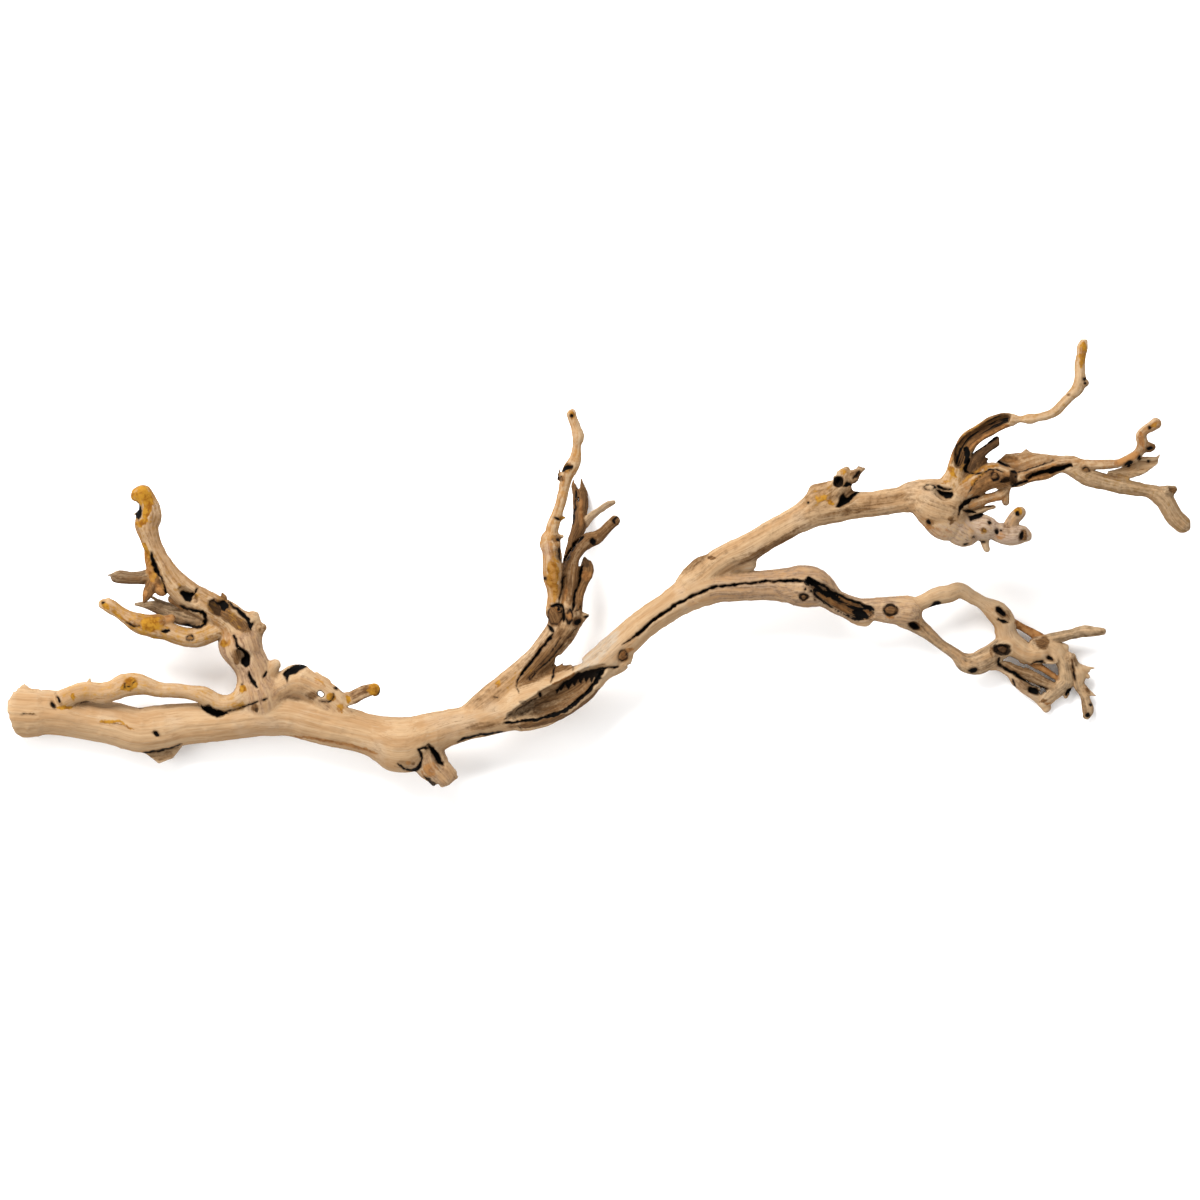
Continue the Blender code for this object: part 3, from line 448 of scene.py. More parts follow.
# Torn sheets of wood: height, thickness, and flat outline in x and y.
SHEETS = {
    "under_wedge": (15, 10, [
        (-352, -138), (-346, -144.5), (-340, -148.5), (-336, -152.3), (-331, -150.5), (-325, -148),
        (-318, -139.5), (-325, -130), (-345, -130),
    ]),
    "crotch_block": (43, 8, [
        (-37, -93), (-34.3, -84), (-33.3, -76.2), (-31.8, -78.2), (-29, -77), (-27.4, -74.8), (-27, -77.3),
        (-20.6, -76.8), (-19.9, -78.5), (-16, -77.2), (-12, -76), (-12, -86), (-24, -91),
    ]),
    "grey_sheet": (76.5, 5, [
        (300, 72), (303, 78.6), (310, 83.9), (318, 83.4), (322, 85), (325, 87.5), (328, 85), (332, 84),
        (350, 82.6), (361, 82.6), (368, 79.2), (360, 73), (340, 70), (318, 66),
    ]),
    "rugged_sheet": (73.5, 5, [
        (388, 65), (387, 70.5), (397, 73.3), (403, 77), (411, 81), (420, 80.6), (426, 81.5), (425.5, 76.5),
        (424, 74.5), (417.5, 70.3), (411.5, 67), (404, 65), (400, 62),
    ]),
    "crown_plate": (14.5, 9, [
        (306, -58), (316.5, -50), (319, -55), (322.5, -59.8), (327, -61.5), (333, -60.5), (340, -58),
        (349, -62), (351, -75), (345, -76.5), (338, -75.5), (331, -77), (322, -71), (312, -68),
    ]),
}

# Open hollows, as stations of the scoop that cut them: x, y, z and radius.
HOLLOWS = {
    "trunk_scoop": [
        (-66, -117, 56, 3.4), (-55, -113, 55.5, 8), (-40, -106.5, 54.5, 11), (-25, -98.5, 55.5, 10.5),
        (-10, -89, 56, 9), (3, -80.5, 57, 4.5),
    ],
    "limb_groove": [
        (160, -13, 58, 3), (170, -21.5, 55, 6), (180, -26.5, 51, 6.5), (192, -33, 46.5, 6.5),
        (203, -37.5, 43.5, 5.5), (208, -39.5, 42, 2.5),
    ],
    "crown_hollow": [(258, 56.5, 96, 4), (262.5, 54, 95, 6), (267, 54.5, 95, 4.5)],
    "scooped_face": [
        (273.5, 76, 89, 3.5), (275, 84, 91, 5), (278.5, 91.5, 92.5, 5), (287, 98.5, 94, 4.5),
        (296, 103.5, 96, 4.2), (304, 107.5, 97.5, 4), (309.5, 109.5, 98, 3),
    ],
    "stump_cleft": [(183.5, 44.5, 82.5, 2), (189, 48.5, 82, 3.4), (197, 54, 80, 2.4)],
    "stump_ring": [(181.5, 62.5, 88, 4.2), (182.8, 62.5, 83, 3.4)],
    "hump_mouth": [(-238, -84.5, 50, 3), (-232, -82, 48, 4.2), (-226, -78.5, 47, 3)],
    "stem_hollow": [(-267.5, -79, 55, 2.6), (-269, -72, 55, 4.6), (-273, -66, 55.5, 3)],
    "upright_hollow": [(-307, -28, 61.5, 3), (-311, -24, 62, 4.5), (-317, -19.5, 64, 3)],
    "twig_hollow": [(-303, -111, 38, 2.5), (-297, -110.5, 38, 3.2), (-287, -114, 38, 2.5)],
    "stub_slot": [(-130, -139.5, 48, 2.4), (-125, -146, 45, 2.8), (-118, -154, 42, 2)],
    "running_groove": [
        (326, 66.2, 85, 1.8), (336, 68.5, 84, 2.4), (347, 71.3, 83, 2.4), (358, 75, 82, 1.6),
    ],
    "running_pocket": [(309, 63, 91, 2.6), (315, 61.5, 88, 2.4)],
    "knot_upper_arm": [(305.5, -35.5, 28, 2.6), (308.5, -38.5, 27, 2.4)],
    "knot_joint": [(304.5, -65, 25, 3), (309.5, -65, 24.5, 3.4)],
    "knot_lower_arm": [(240, -46.8, 37, 3.2), (243.5, -49.3, 35.5, 2.4)],
    "outer_knot": [(435.5, 57.5, 72, 1.8), (438, 53.5, 72, 1.8)],
}

# How widely a limb flows into what it grows from, where it isn't the usual blend.
BLENDS = {
    0.8: (
        "crown_splinter", "spur_plank", "spur_bulb", "inner_splinter", "grey_strand", "torn_strand",
        "cross_pegs",
    ),
    1: (
        "crown_web", "spur_middle", "spur_plank_tips", "spur_side_splinter", "spur_plank_tips_right",
        "dark_stub", "inner_strand", "lower_strand", "strand_web", "orange_strip", "far_strand_barb",
        "far_strand_knob", "far_strand_crumbs",
    ),
    1.2: ("crown_strut", "stub", "spur_spike", "spur_burl", "torn_flap", "inner_peg"),
    1.4: (
        "pale_peg", "right_strand", "far_strand", "lower_grey_twig", "running_knob", "knob_twiglet",
        "scooped_limb_knot",
    ),
    1.5: ("crown_grey_twig", "crown_peg", "crown_hook"),
    1.6: ("crown_finger", "side_twig", "hump_twig", "spur_twig", "pale_twig", "outer_corner"),
    2: ("stump_bump", "finger_stub", "scoop_rim", "outer_branch"),
    2.5: ("twig_bump",),
    3: ("finger_hump", "knob_stump"),
    3.2: ("spur_web", "stump_shoulder"),
    5: ("crown_stem",),
    6: ("bottom_knob",),
    6.5: ("hump",),
}

# Fine spikes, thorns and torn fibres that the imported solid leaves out: x, y, z and half width.
FINE_LIMBS = {
    "spur_web": [(-28.5, -8, 48, 3.5), (-28, -22, 46, 4), (-28, -32, 45, 5)],
    "twig_bump": [(-38, 13, 60, 4.5), (-41, 14.5, 60, 3.4)],
    "twig_point": [(-15.5, 97.5, 72.5, 3.6), (-11.3, 98, 72.5, 1.2)],
    "finger_stub": [(-336, -46, 50, 5), (-329, -43, 50, 4), (-325, -41.5, 50, 3)],
    "finger_hump": [(-344, -46, 52, 7), (-336, -45, 52, 6.8)],
    "splinter_blade": [(-322, -33.5, 38, 2.2), (-334, -28.3, 38, 1.5), (-345.5, -22.6, 38, 0.8)],
    "grey_twig_lump": [(-366.3, -9.3, 46, 4.3), (-360, -9.5, 46.5, 4.3)],
    "grey_twig_spike": [(-367, -8.8, 46.5, 2.4), (-370.5, -8.3, 46.2, 1.3), (-373.3, -8.4, 46, 0.8)],
    "stump_shoulder": [(165, 55.5, 72, 5), (176, 59.3, 74, 4.4)],
    "pale_barb": [(321, 24, 70, 3), (327, 23.6, 70, 1)],
    "pale_barb_low": [(321, 19.5, 70, 2.6), (327.3, 20.3, 70, 0.9)],
    "butt_tip": [(-447, -98, 18, 2.6), (-445.5, -95.5, 18, 1.8)],
    "twig_spike": [(-389, -92, 33, 2), (-388, -88.5, 33, 1.3), (-387.6, -87, 33, 0.8)],
    "twig_step": [(-399, -94, 32, 2.2), (-396, -92, 32, 1.2)],
    "upright_spike": [(-350, 38.5, 65, 1.6), (-353, 38, 65, 0.9)],
    "upright_burr": [(-285, -25.5, 50, 2.4), (-286.5, -22.8, 50, 1.3)],
    "finger_burr": [(-372.5, -29, 53, 2), (-373.5, -26.3, 53, 1.2)],
    "twig_thorn": [(-32, 35, 62.5, 2.6), (-28, 35, 62.5, 1.7), (-25.6, 35.3, 62.5, 1.1)],
    "twig_thorn_low": [(-31, 20.5, 61, 2.4), (-27.6, 21.3, 61, 1.4)],
    "twig_flake": [(-30.5, 64.5, 67, 1.4), (-30.3, 69, 68, 1.3), (-29.3, 73, 69, 0.8)],
    "spike_tip": [(-11, -39.7, 44, 2), (-7.8, -39.4, 44, 0.8)],
    "stump_bump": [(181.5, 66, 79.5, 3.4), (183, 70.5, 79.5, 2.6)],
    "sheet_curl": [(412, 80, 78, 1.6), (420, 79.8, 78, 1.8), (425.5, 81, 78, 1.2), (426.3, 82.8, 78, 0.8)],
    "barb_top": [(370, -79.6, 11.5, 2.4), (375, -79.4, 11.5, 1.2), (379.3, -79.3, 11.5, 0.7)],
    "barb_low": [(372, -98, 8.5, 2), (377, -99.6, 8.5, 1.1), (381.3, -100.9, 8.5, 0.7)],
    "barb_mid": [(371, -84, 10.5, 2.4), (373.8, -86, 10.5, 1.4)],
    "crumb": [(357.5, -68.3, 14, 2.2), (359.3, -68.4, 14, 1.3)],
    "crumb_high": [(356, -62.8, 14, 2.2), (357.8, -62.6, 14, 1.3)],
    "strand_knob": [(357.5, -71.3, 15, 3.2), (361.8, -70.9, 15, 2.5)],
    "inner_curl": [(303.5, 57.5, 85.5, 1.5), (308, 58.5, 86.2, 1.5), (312.3, 61.5, 86.2, 1.1)],
    "shelf": [(257, 56.5, 90, 1.7), (262, 55.2, 89.5, 1.8), (268, 55.8, 89, 1.4)],
    "orange_splinter": [
        (330, -75.4, 13.5, 2.4), (337, -78.3, 13, 2.3), (344, -82.8, 12, 1.7), (350, -87, 11, 1.5),
    ],
}

# Black cracks, whose black is painted shade deep inside them, and three black lines that are a splinter's
# painted shadow: width, depth and middle line.
CRACKS_AND_SHADOW_LINES = [
    (0.9, 0.6, [(-361.7, -91), (-360.8, -94.8)]),
    (0.8, 0.5, [(-359.5, -93), (-357.3, -93.5)]),
    (0.8, 0.5, [(-356, -91.6), (-353, -89)]),
    (0.9, 0.8, [(-183.4, -91.8), (-180, -92.8)]),
    (0.9, 0.8, [(-168.4, -99.2), (-166.4, -96.2)]),
    (1, 0.8, [(-202.3, -99), (-201.8, -102), (-204, -104.3)]),
    (3.2, 1.8, [(162.5, -13.5), (167, -18), (171, -22)]),
    (5, 2, [(172.5, -22), (182, -26.8)]),
    (3, 1.6, [(201, -31), (209.5, -35)]),
    (6, 2.2, [(195, -36.5), (204, -40)]),
    (1.3, 1.4, [(161, -20.5), (172, -29.3), (185, -37.5), (194, -41.8), (202, -42.8)]),
    (1.1, 1, [(163.5, -11.6), (180, -21.8), (192, -27.3), (203, -31.5)]),
    (2.6, 2, [(186, 59.3), (189.5, 61.3), (192, 60)]),
    (1.3, 1.5, [(-257, -104.7), (-252.8, -102.8)]),
    (1.8, 2.5, [(-254.9, -86.3), (-252.7, -82)]),
    (1.7, 3, [(-266.2, -82), (-265.6, -86), (-263.4, -89.8), (-260.5, -94)]),
    (1.7, 3, [(-277.5, -54.5), (-276, -58), (-274.8, -62), (-273, -64.6), (-268, -67.5)]),
    (1.5, 3.5, [(-340.4, 9.2), (-339, 4), (-337.5, -1)]),
    (3, 5, [(-338.4, 2), (-336.6, -4), (-334.5, -8.5)]),
    (1.5, 4, [(-335, -7.5), (-332.7, -10.6), (-331, -16), (-328.4, -23.3)]),
    # These three lines are the painted shadow that the crown's splinter casts, sunk in as grooves
    (2, 4, [(-318.5, -31.8), (-308.6, -35.2), (-302, -36.6)]),
    (2.9, 5, [(-304, -36), (-300, -38.2), (-298.6, -42), (-300, -46.2)]),
    (1.9, 3, [(-299.6, -45.5), (-303, -48), (-308, -47.8), (-317, -46)]),
    (1.5, 3, [(-281.7, -29), (-278, -32.5), (-274.7, -35.4)]),
    (2.6, 3.5, [(-276, -34), (-271, -38.5), (-267.6, -42.3), (-264.8, -50.2)]),
    (1.3, 2, [(-359.5, -44.6), (-355, -46.8), (-349.6, -47)]),
    (2.2, 2, [(-332.5, -51), (-327, -50.6)]),
    (1, 1.6, [(-287.4, -114), (-277, -110.8), (-267.6, -107.5), (-259, -104.7)]),
    (1.2, 1.5, [(-347, -144), (-335, -142.5), (-325, -139.8), (-318, -137.6)]),
    (1.5, 2.5, [(-107.4, -135.3), (-100, -132.6), (-89.3, -129.9), (-81.2, -129.2), (-71.8, -127.9)]),
    (1.3, 2, [(-153.2, -152.1), (-150, -154.6), (-147.1, -156.1)]),
    (2.1, 3, [(-148.5, -155.8), (-143, -157.4), (-139.5, -157), (-136.4, -154.1), (-134.6, -150)]),
    (1.3, 2.5, [(-134.5, -151.5), (-134.3, -148), (-135, -144.7), (-137, -140.7), (-129.6, -139.8)]),
    (0.9, 1, [(-81.2, -101), (-76.5, -101.1)]),
    (1.9, 3.5, [
        (-34.2, -52.7), (-38.5, -58.8), (-45.8, -67.9), (-51.9, -75.2), (-56.7, -81.3), (-59.5, -85),
    ]),
    (0.8, 1.5, [(-58.8, -83.5), (-61.6, -88), (-62.4, -92.5), (-61, -98)]),
    (0.8, 1.2, [(-15.3, -47.2), (-23.8, -56.9), (-34.8, -70.3), (-45.8, -81.3), (-52, -88)]),
    (0.6, 0.8, [(-29, -56), (-35, -66), (-44, -76.5), (-54, -87.5)]),
    (2.8, 3.5, [(-38.7, -46.8), (-36.5, -48.2), (-34, -51)]),
    (2.2, 4, [(-26.8, -33), (-26, -38), (-26.4, -43.5)]),
    (1.6, 3, [(-36.5, -32.3), (-32, -30.7), (-27.5, -31.5), (-26, -35)]),
    (1.1, 3, [(-24.5, -9.3), (-26.3, -9.6), (-27.5, -13), (-28.7, -20.4), (-29.3, -30)]),
    (1.5, 3.5, [(-13.2, -8), (-14.8, -14), (-17.8, -22.8), (-19.6, -35)]),
    (2.6, 4, [(-11.7, -1.5), (-13, -5.5), (-13.8, -9)]),
    (1.2, 2, [(-13.3, -31), (-14.5, -34.5), (-18.5, -36.5)]),
    (2.2, 4.5, [(-26.9, 0.3), (-24.8, 4), (-22.6, 7.6), (-17.8, 14.9), (-14, 18.8), (-11, 21.4)]),
    (1.3, 2, [(-28.6, 2.5), (-30.2, 8), (-29.6, 13)]),
    (1.2, 2, [(-17.3, 57), (-17.6, 48), (-18.3, 40), (-19.5, 30)]),
    (0.9, 2.5, [(17.6, -61), (21, -59.7), (25, -57.3), (30, -53.3)]),
    (1.9, 4, [
        (27, -55.5), (35, -49), (40, -44), (50, -37), (60, -30.8), (70, -25), (80, -20.5), (85, -18.5),
    ]),
    (1.7, 4, [(83, -19), (95, -16.7), (110, -15), (130, -13.4), (150, -13), (156, -13)]),
    (1.6, 3, [(-72.6, -121.5), (-64, -120.6), (-56.7, -119.7), (-46, -118.4), (-38.5, -116.6)]),
    (2.5, 4, [
        (-42, -117.3), (-31, -114.2), (-23.8, -110.5), (-14.1, -103.2), (-6.8, -95.9), (0.5, -87.4),
        (4.2, -80),
    ]),
    (1.6, 3, [(0, -79.6), (7, -78.6), (15.1, -77.6)]),
    (1.2, 2, [(-33, -77.6), (-34.3, -84), (-36.5, -90)]),
    (0.9, 1.5, [(-19.9, -77.6), (-19.5, -81)]),
    (1, 1.6, [(-59, -126), (-61.5, -123.8)]),
    (1.4, 2, [(273.3, 36.5), (274.2, 40), (275.5, 42.4)]),
    (2.8, 3.5, [(274.6, 41), (277, 45), (280, 47.6), (283.6, 49.5)]),
    (1.7, 2.5, [(282, 49), (286, 50.4), (289.4, 51.2)]),
    (1.6, 2.5, [(277, 40.8), (281, 40.8), (286.5, 38.9)]),
    (0.8, 1, [(281, 53), (283.5, 57.5), (288, 63.5), (292.5, 68.8), (297.5, 71.6), (302, 71.8), (308, 70)]),
    (0.8, 1.4, [(313, 70.8), (318, 69.7), (324, 70.8), (331, 73.3), (340, 76.5), (346, 79)]),
    (1.8, 3, [(314.5, 58.6), (319, 60.8), (326, 63)]),
    (2.6, 4.5, [(283.6, 84), (287.5, 87), (291, 89.5), (297, 93), (303, 96.2)]),
    (2.4, 3, [(281.2, 80), (280, 76), (279.4, 71), (281.5, 69)]),
    (1.3, 2, [(281, 68.8), (286, 68.2), (291, 69.7)]),
    (0.9, 1.5, [(295.5, 43.3), (300.5, 43.4)]),
    (2.4, 3, [(252.8, -33), (256, -30.3), (261, -29.8)]),
    (1.7, 2.5, [(305, -42), (308, -43.6), (312, -44.6)]),
    (1.8, 3, [
        (306.5, -71.8), (304.7, -74.5), (306.5, -77.3), (311, -80), (318, -83.7), (324.5, -88.6),
        (328.5, -91),
    ]),
    (1.3, 2, [(329, -91.7), (336, -93.5), (343, -95)]),
    (1.6, 2.5, [(316.3, -88), (317.3, -91), (318.2, -94)]),
    (1.5, 2, [(330.5, -76.3), (333, -74.6), (337, -74.2), (340.5, -75.6)]),
    (2.4, 4, [(357.3, -99.8), (359, -97), (361.8, -94.2)]),
    (1, 1.2, [(361.3, -73), (362.5, -81), (363.8, -89.5)]),
    (0.9, 1, [(-213, -104), (-206, -105.5), (-202.5, -103.5)]),
    (2.4, 2, [(-27.6, 71.2), (-24.5, 73), (-20.3, 74.2)]),
    (1.3, 1.6, [(-31, 64.5), (-31.2, 68), (-30.4, 72)]),
]

# Black hollows, whose black and brown are painted shade inside them: depth, how evenly black they are, and
# outline.
PITS = [
    (2.6, 0.7, [
        (178.8, 66), (182, 66.8), (185.5, 66.2), (186.4, 63), (185.4, 59.6), (182, 58.4), (179, 60.5),
    ]),
    (2.2, 0.9, [
        (-350, 45.5), (-348.2, 43.5), (-347.6, 40), (-348.4, 35), (-350, 33), (-353, 36), (-351.6, 39),
    ]),
    (4.5, 0.95, [
        (-303, -108.4), (-296.5, -107.8), (-294, -110.3), (-291, -111.2), (-286, -113), (-282, -114.2),
        (-291, -116.4), (-298, -113.6),
    ]),
    (4.5, 0.95, [
        (-273.4, -64.2), (-267.5, -67), (-265.3, -70), (-266, -76.2), (-269, -78.6), (-272.5, -75.5),
        (-271.6, -72), (-269.5, -70.5), (-269.7, -68.5),
    ]),
    (4, 0.95, [
        (-318.2, -21.7), (-316, -20.2), (-311.5, -22.2), (-308, -22.8), (-306.6, -20.3), (-304.4, -18.3),
        (-305.5, -21.5), (-309.5, -24.4), (-311, -28.8), (-314.3, -27.8), (-317.2, -24),
    ]),
    (4, 0.95, [
        (-291.3, -30), (-287.5, -28.6), (-284.5, -27.5), (-282, -30), (-281.2, -33), (-284, -36.3),
        (-287.5, -34.8), (-288, -32.3),
    ]),
    (2.4, 0.6, [
        (-297, -28), (-292.5, -26.6), (-290.5, -30), (-288, -34), (-286.5, -39.5), (-291, -38.6),
        (-295.5, -34), (-297.5, -31),
    ]),
    (4, 0.95, [
        (-240.5, -84), (-238.8, -81.3), (-233.3, -78), (-228, -76.3), (-223.6, -76), (-222.6, -78),
        (-225.3, -80.4), (-229.5, -82.8), (-236, -84.8), (-236.8, -90.2), (-238.8, -86),
    ]),
    (5.5, 1, [
        (-130.2, -137.8), (-125.8, -140), (-121, -145.6), (-118, -153.8), (-122.4, -151.4),
        (-125.8, -145.4), (-129, -140.4),
    ]),
    (3, 0.7, [(-133.7, -161.8), (-128.3, -164), (-123.6, -168.3), (-125.8, -169.8)]),
    (3, 0.95, [
        (180.7, 43.4), (183.7, 43.2), (189.5, 46.8), (194.5, 50.7), (199.8, 56.4), (195.5, 54.3),
        (190.5, 50.8), (187.5, 50.3), (186.5, 53.7), (183.7, 50),
    ]),
    (3, 0.85, [(186, 58.8), (189, 61.5), (192.5, 61.7), (191.3, 59.7), (188.5, 58.3)]),
    (2.4, 0.7, [(193.5, 64.5), (197, 65.5), (199.3, 68), (198.8, 70.7), (196.8, 69.7), (194.6, 67.2)]),
    (4, 0.95, [
        (256.8, 56.4), (262, 55.2), (268.9, 54.9), (269.2, 52.5), (267.4, 50.4), (263.4, 49.8), (259.4, 53),
    ]),
    (3, 0.95, [(256.6, 59.9), (259, 59.7), (262.5, 57.7), (268.6, 56.9), (262.5, 56.4), (257.6, 57.6)]),
    (2.2, 0.6, [(304.8, 62), (309, 61.4), (312.6, 62), (312.8, 65.6), (309, 66.2), (306.5, 64.4)]),
    (2.2, 0.35, [
        (313, 71), (316.5, 71.3), (318.5, 67.5), (318, 62), (315.2, 58.8), (313, 59.5), (314, 64),
    ]),
    (5, 1, [
        (325.6, 65.5), (329.5, 68.3), (333.3, 69.7), (342, 71.9), (352.4, 74.8), (359.7, 76.4), (361, 75),
        (353.8, 71.9), (348, 69.8), (339.2, 68.9), (331.9, 66.7), (327, 64.5),
    ]),
    (2.2, 0.95, [(281, 36.3), (286, 37.2), (292.6, 38.4), (292, 35.6), (286, 33.6), (282.2, 32.6)]),
    (2.4, 0.95, [(302.2, 78.6), (305, 78.3), (309.5, 76.5), (313.4, 73.8), (309, 74), (305, 76)]),
    (2.4, 0.3, [
        (271.8, 90), (273.2, 91), (276, 88), (277, 82), (275.6, 75.4), (272.8, 74), (271, 78), (270.8, 84),
    ]),
    (3, 0.9, [(277.6, 88), (279.6, 89.5), (282, 86), (282, 82.5), (279, 76.5), (276.8, 75.5), (278, 82)]),
    (2, 0, [
        (273, 90), (278, 96.5), (285, 101.5), (293, 106.5), (301, 111.3), (308, 114), (312.6, 112.5),
        (311, 107.5), (303, 102.8), (294, 98.5), (286.5, 94), (282, 88.5), (278, 85),
    ]),
    (1.2, 0, [
        (160, -9.6), (163.5, -11.2), (170, -16), (180, -21), (190, -25.6), (200, -29.2), (208, -33.3),
        (211, -36.2), (206, -41.8), (200.5, -43.3), (191, -39.3), (182, -33.3), (172, -28.7), (165, -24),
        (161.5, -20.5), (156.6, -14.5), (155.8, -12.6),
    ]),
    (2.6, 0.95, [(160, -9.8), (163, -11), (164.6, -13.5), (162.5, -16), (158.5, -16), (156.5, -13.6)]),
    (2.2, 0.8, [
        (-32.8, -96), (-29, -92.6), (-21.4, -87.3), (-14, -82.3), (3, -79), (2.5, -84), (0, -86),
        (-1, -90.5), (-3.2, -86), (-5, -90.5), (-7, -85.8), (-9, -91), (-11, -86), (-13.4, -92),
        (-15.5, -87.3), (-18, -93), (-20, -89.3), (-23, -95), (-25.2, -91.5), (-28.4, -96.5), (-30, -95),
        (-31.5, -99),
    ]),
    (2, 0.7, [(337.3, -96), (341.5, -95.3), (340, -99.3), (337.7, -99)]),
]

# Small round holes, painted black as the shade inside them: x, y, half width, half height, turn in degrees,
# depth.
HOLES = [
    (-337, -129.3, 2.6, 1.5, -30, 2.5), (-415.6, -108.2, 1.3, 2.5, 25, 2.5),
    (-411.7, -103.8, 1, 2.5, 25, 2.5), (-438.4, -114.3, 1.3, 0.7, 15, 0.8), (-44.5, -99, 1.5, 2.2, 10, 2.2),
    (-15.8, -44.3, 2.9, 2, 20, 3), (-30.3, -34.4, 1.2, 1.3, 0, 2), (-9.3, -40.3, 1.8, 1, 10, 1),
    (-31.5, 34.7, 2, 0.9, -10, 1), (-30.6, 18.6, 1.2, 1, 0, 1), (-4.1, 16.8, 2.2, 2.5, 30, 2.5),
    (-40.7, -11.3, 0.9, 1.3, 20, 0.8), (-20.5, 112.7, 1.4, 1.3, 0, 1.5), (13.3, 34.6, 1.9, 1, 30, 1.4),
    (12, 32, 1.6, 0.9, -60, 1.4), (157.5, -19, 0.8, 0.8, 0, 1), (165, -27, 0.7, 0.7, 0, 1),
    (250.9, 31.6, 1.4, 2.2, 15, 2), (303, 24.8, 1.1, 2.2, -8, 2.2), (306.1, 25.6, 1, 0.8, 0, 1.5),
    (297.4, 31.3, 1.4, 1.2, 20, 1.4), (292.9, 16.9, 2, 0.9, -5, 2), (278.7, 14.7, 1.7, 0.9, 20, 1),
    (285.6, 20.3, 0.7, 0.9, 0, 1), (321.8, 21.9, 1.5, 3.8, -12, 2.6), (318.8, 37.9, 1.8, 2.2, 35, 2),
    (369.3, 140.6, 1.2, 1, 0, 1.4), (369.8, 137.5, 1, 1, 0, 1.2), (403.3, 76.2, 3.4, 1.9, 25, 2.2),
    (411, 81, 1.3, 1.9, -30, 1.8), (418.9, 88, 2.6, 1.5, 20, 2), (418.9, 103.6, 1.1, 1.4, 20, 1.6),
    (418.3, 78, 1.2, 1, 0, 1.2), (-271.5, -91.5, 0.8, 0.8, 0, 0.8), (306.8, -36.4, 4.4, 2.1, -38, 3),
    (344.3, -72.2, 2.5, 1.4, -30, 2), (332, -96.7, 4.2, 2.4, -25, 3), (240.8, -47.2, 4.6, 2.2, -25, 2.5),
    (286, -81.3, 3.2, 1.9, 10, 2), (373.3, -115.5, 1.7, 1.6, 0, 1.4), (376, -107, 1.3, 1, 0, 1),
    (-377.2, -29.2, 1, 1, 0, 1), (-199.5, -94.7, 1, 0.9, 0, 0.8), (159, 46.3, 1, 0.8, 0, 0.6),
    (-264.5, -47, 1.6, 2.4, -35, 1.5),
]

# Knots with a dark ring: x, y, half width, half height, turn, depth of the ring, colour of the middle.
KNOTS = [
    (-33, -39, 5.6, 7, -8, 1.4, "grey"), (-30.3, -34.4, 2.6, 2.7, 0, 1.4, "orange"),
    (-22, -40, 2.5, 5, 0, 1.2, "orange"), (156, -25, 2.7, 2.4, 0, 2.4, "brown"),
    (18.6, -69.6, 3.4, 4.4, -25, 1, "orange"), (19, -69, 1.7, 2.3, -25, 0.5, "brown"),
    (251.4, 58.7, 4.2, 2.1, 5, 1, "tan"), (300.8, 66.6, 2.7, 3.1, 0, 1.8, "tan"),
    (222.5, -35.4, 5.2, 3.7, -15, 2.4, "brown"), (308, -65, 4.8, 3.4, -8, 3.4, "dark"),
    (-24, 73, 3.8, 2.8, 25, 0.4, "gold"), (-28.6, 65, 1.7, 1.7, 0, 0.7, "brown"),
    (-311, -56.3, 2.6, 2.2, 0, 0.6, "brown"), (293, 25.6, 1.6, 1.5, 0, 0.7, "brown"),
    (371, 71.6, 2.6, 2.2, -20, 0.9, "brown"),
]

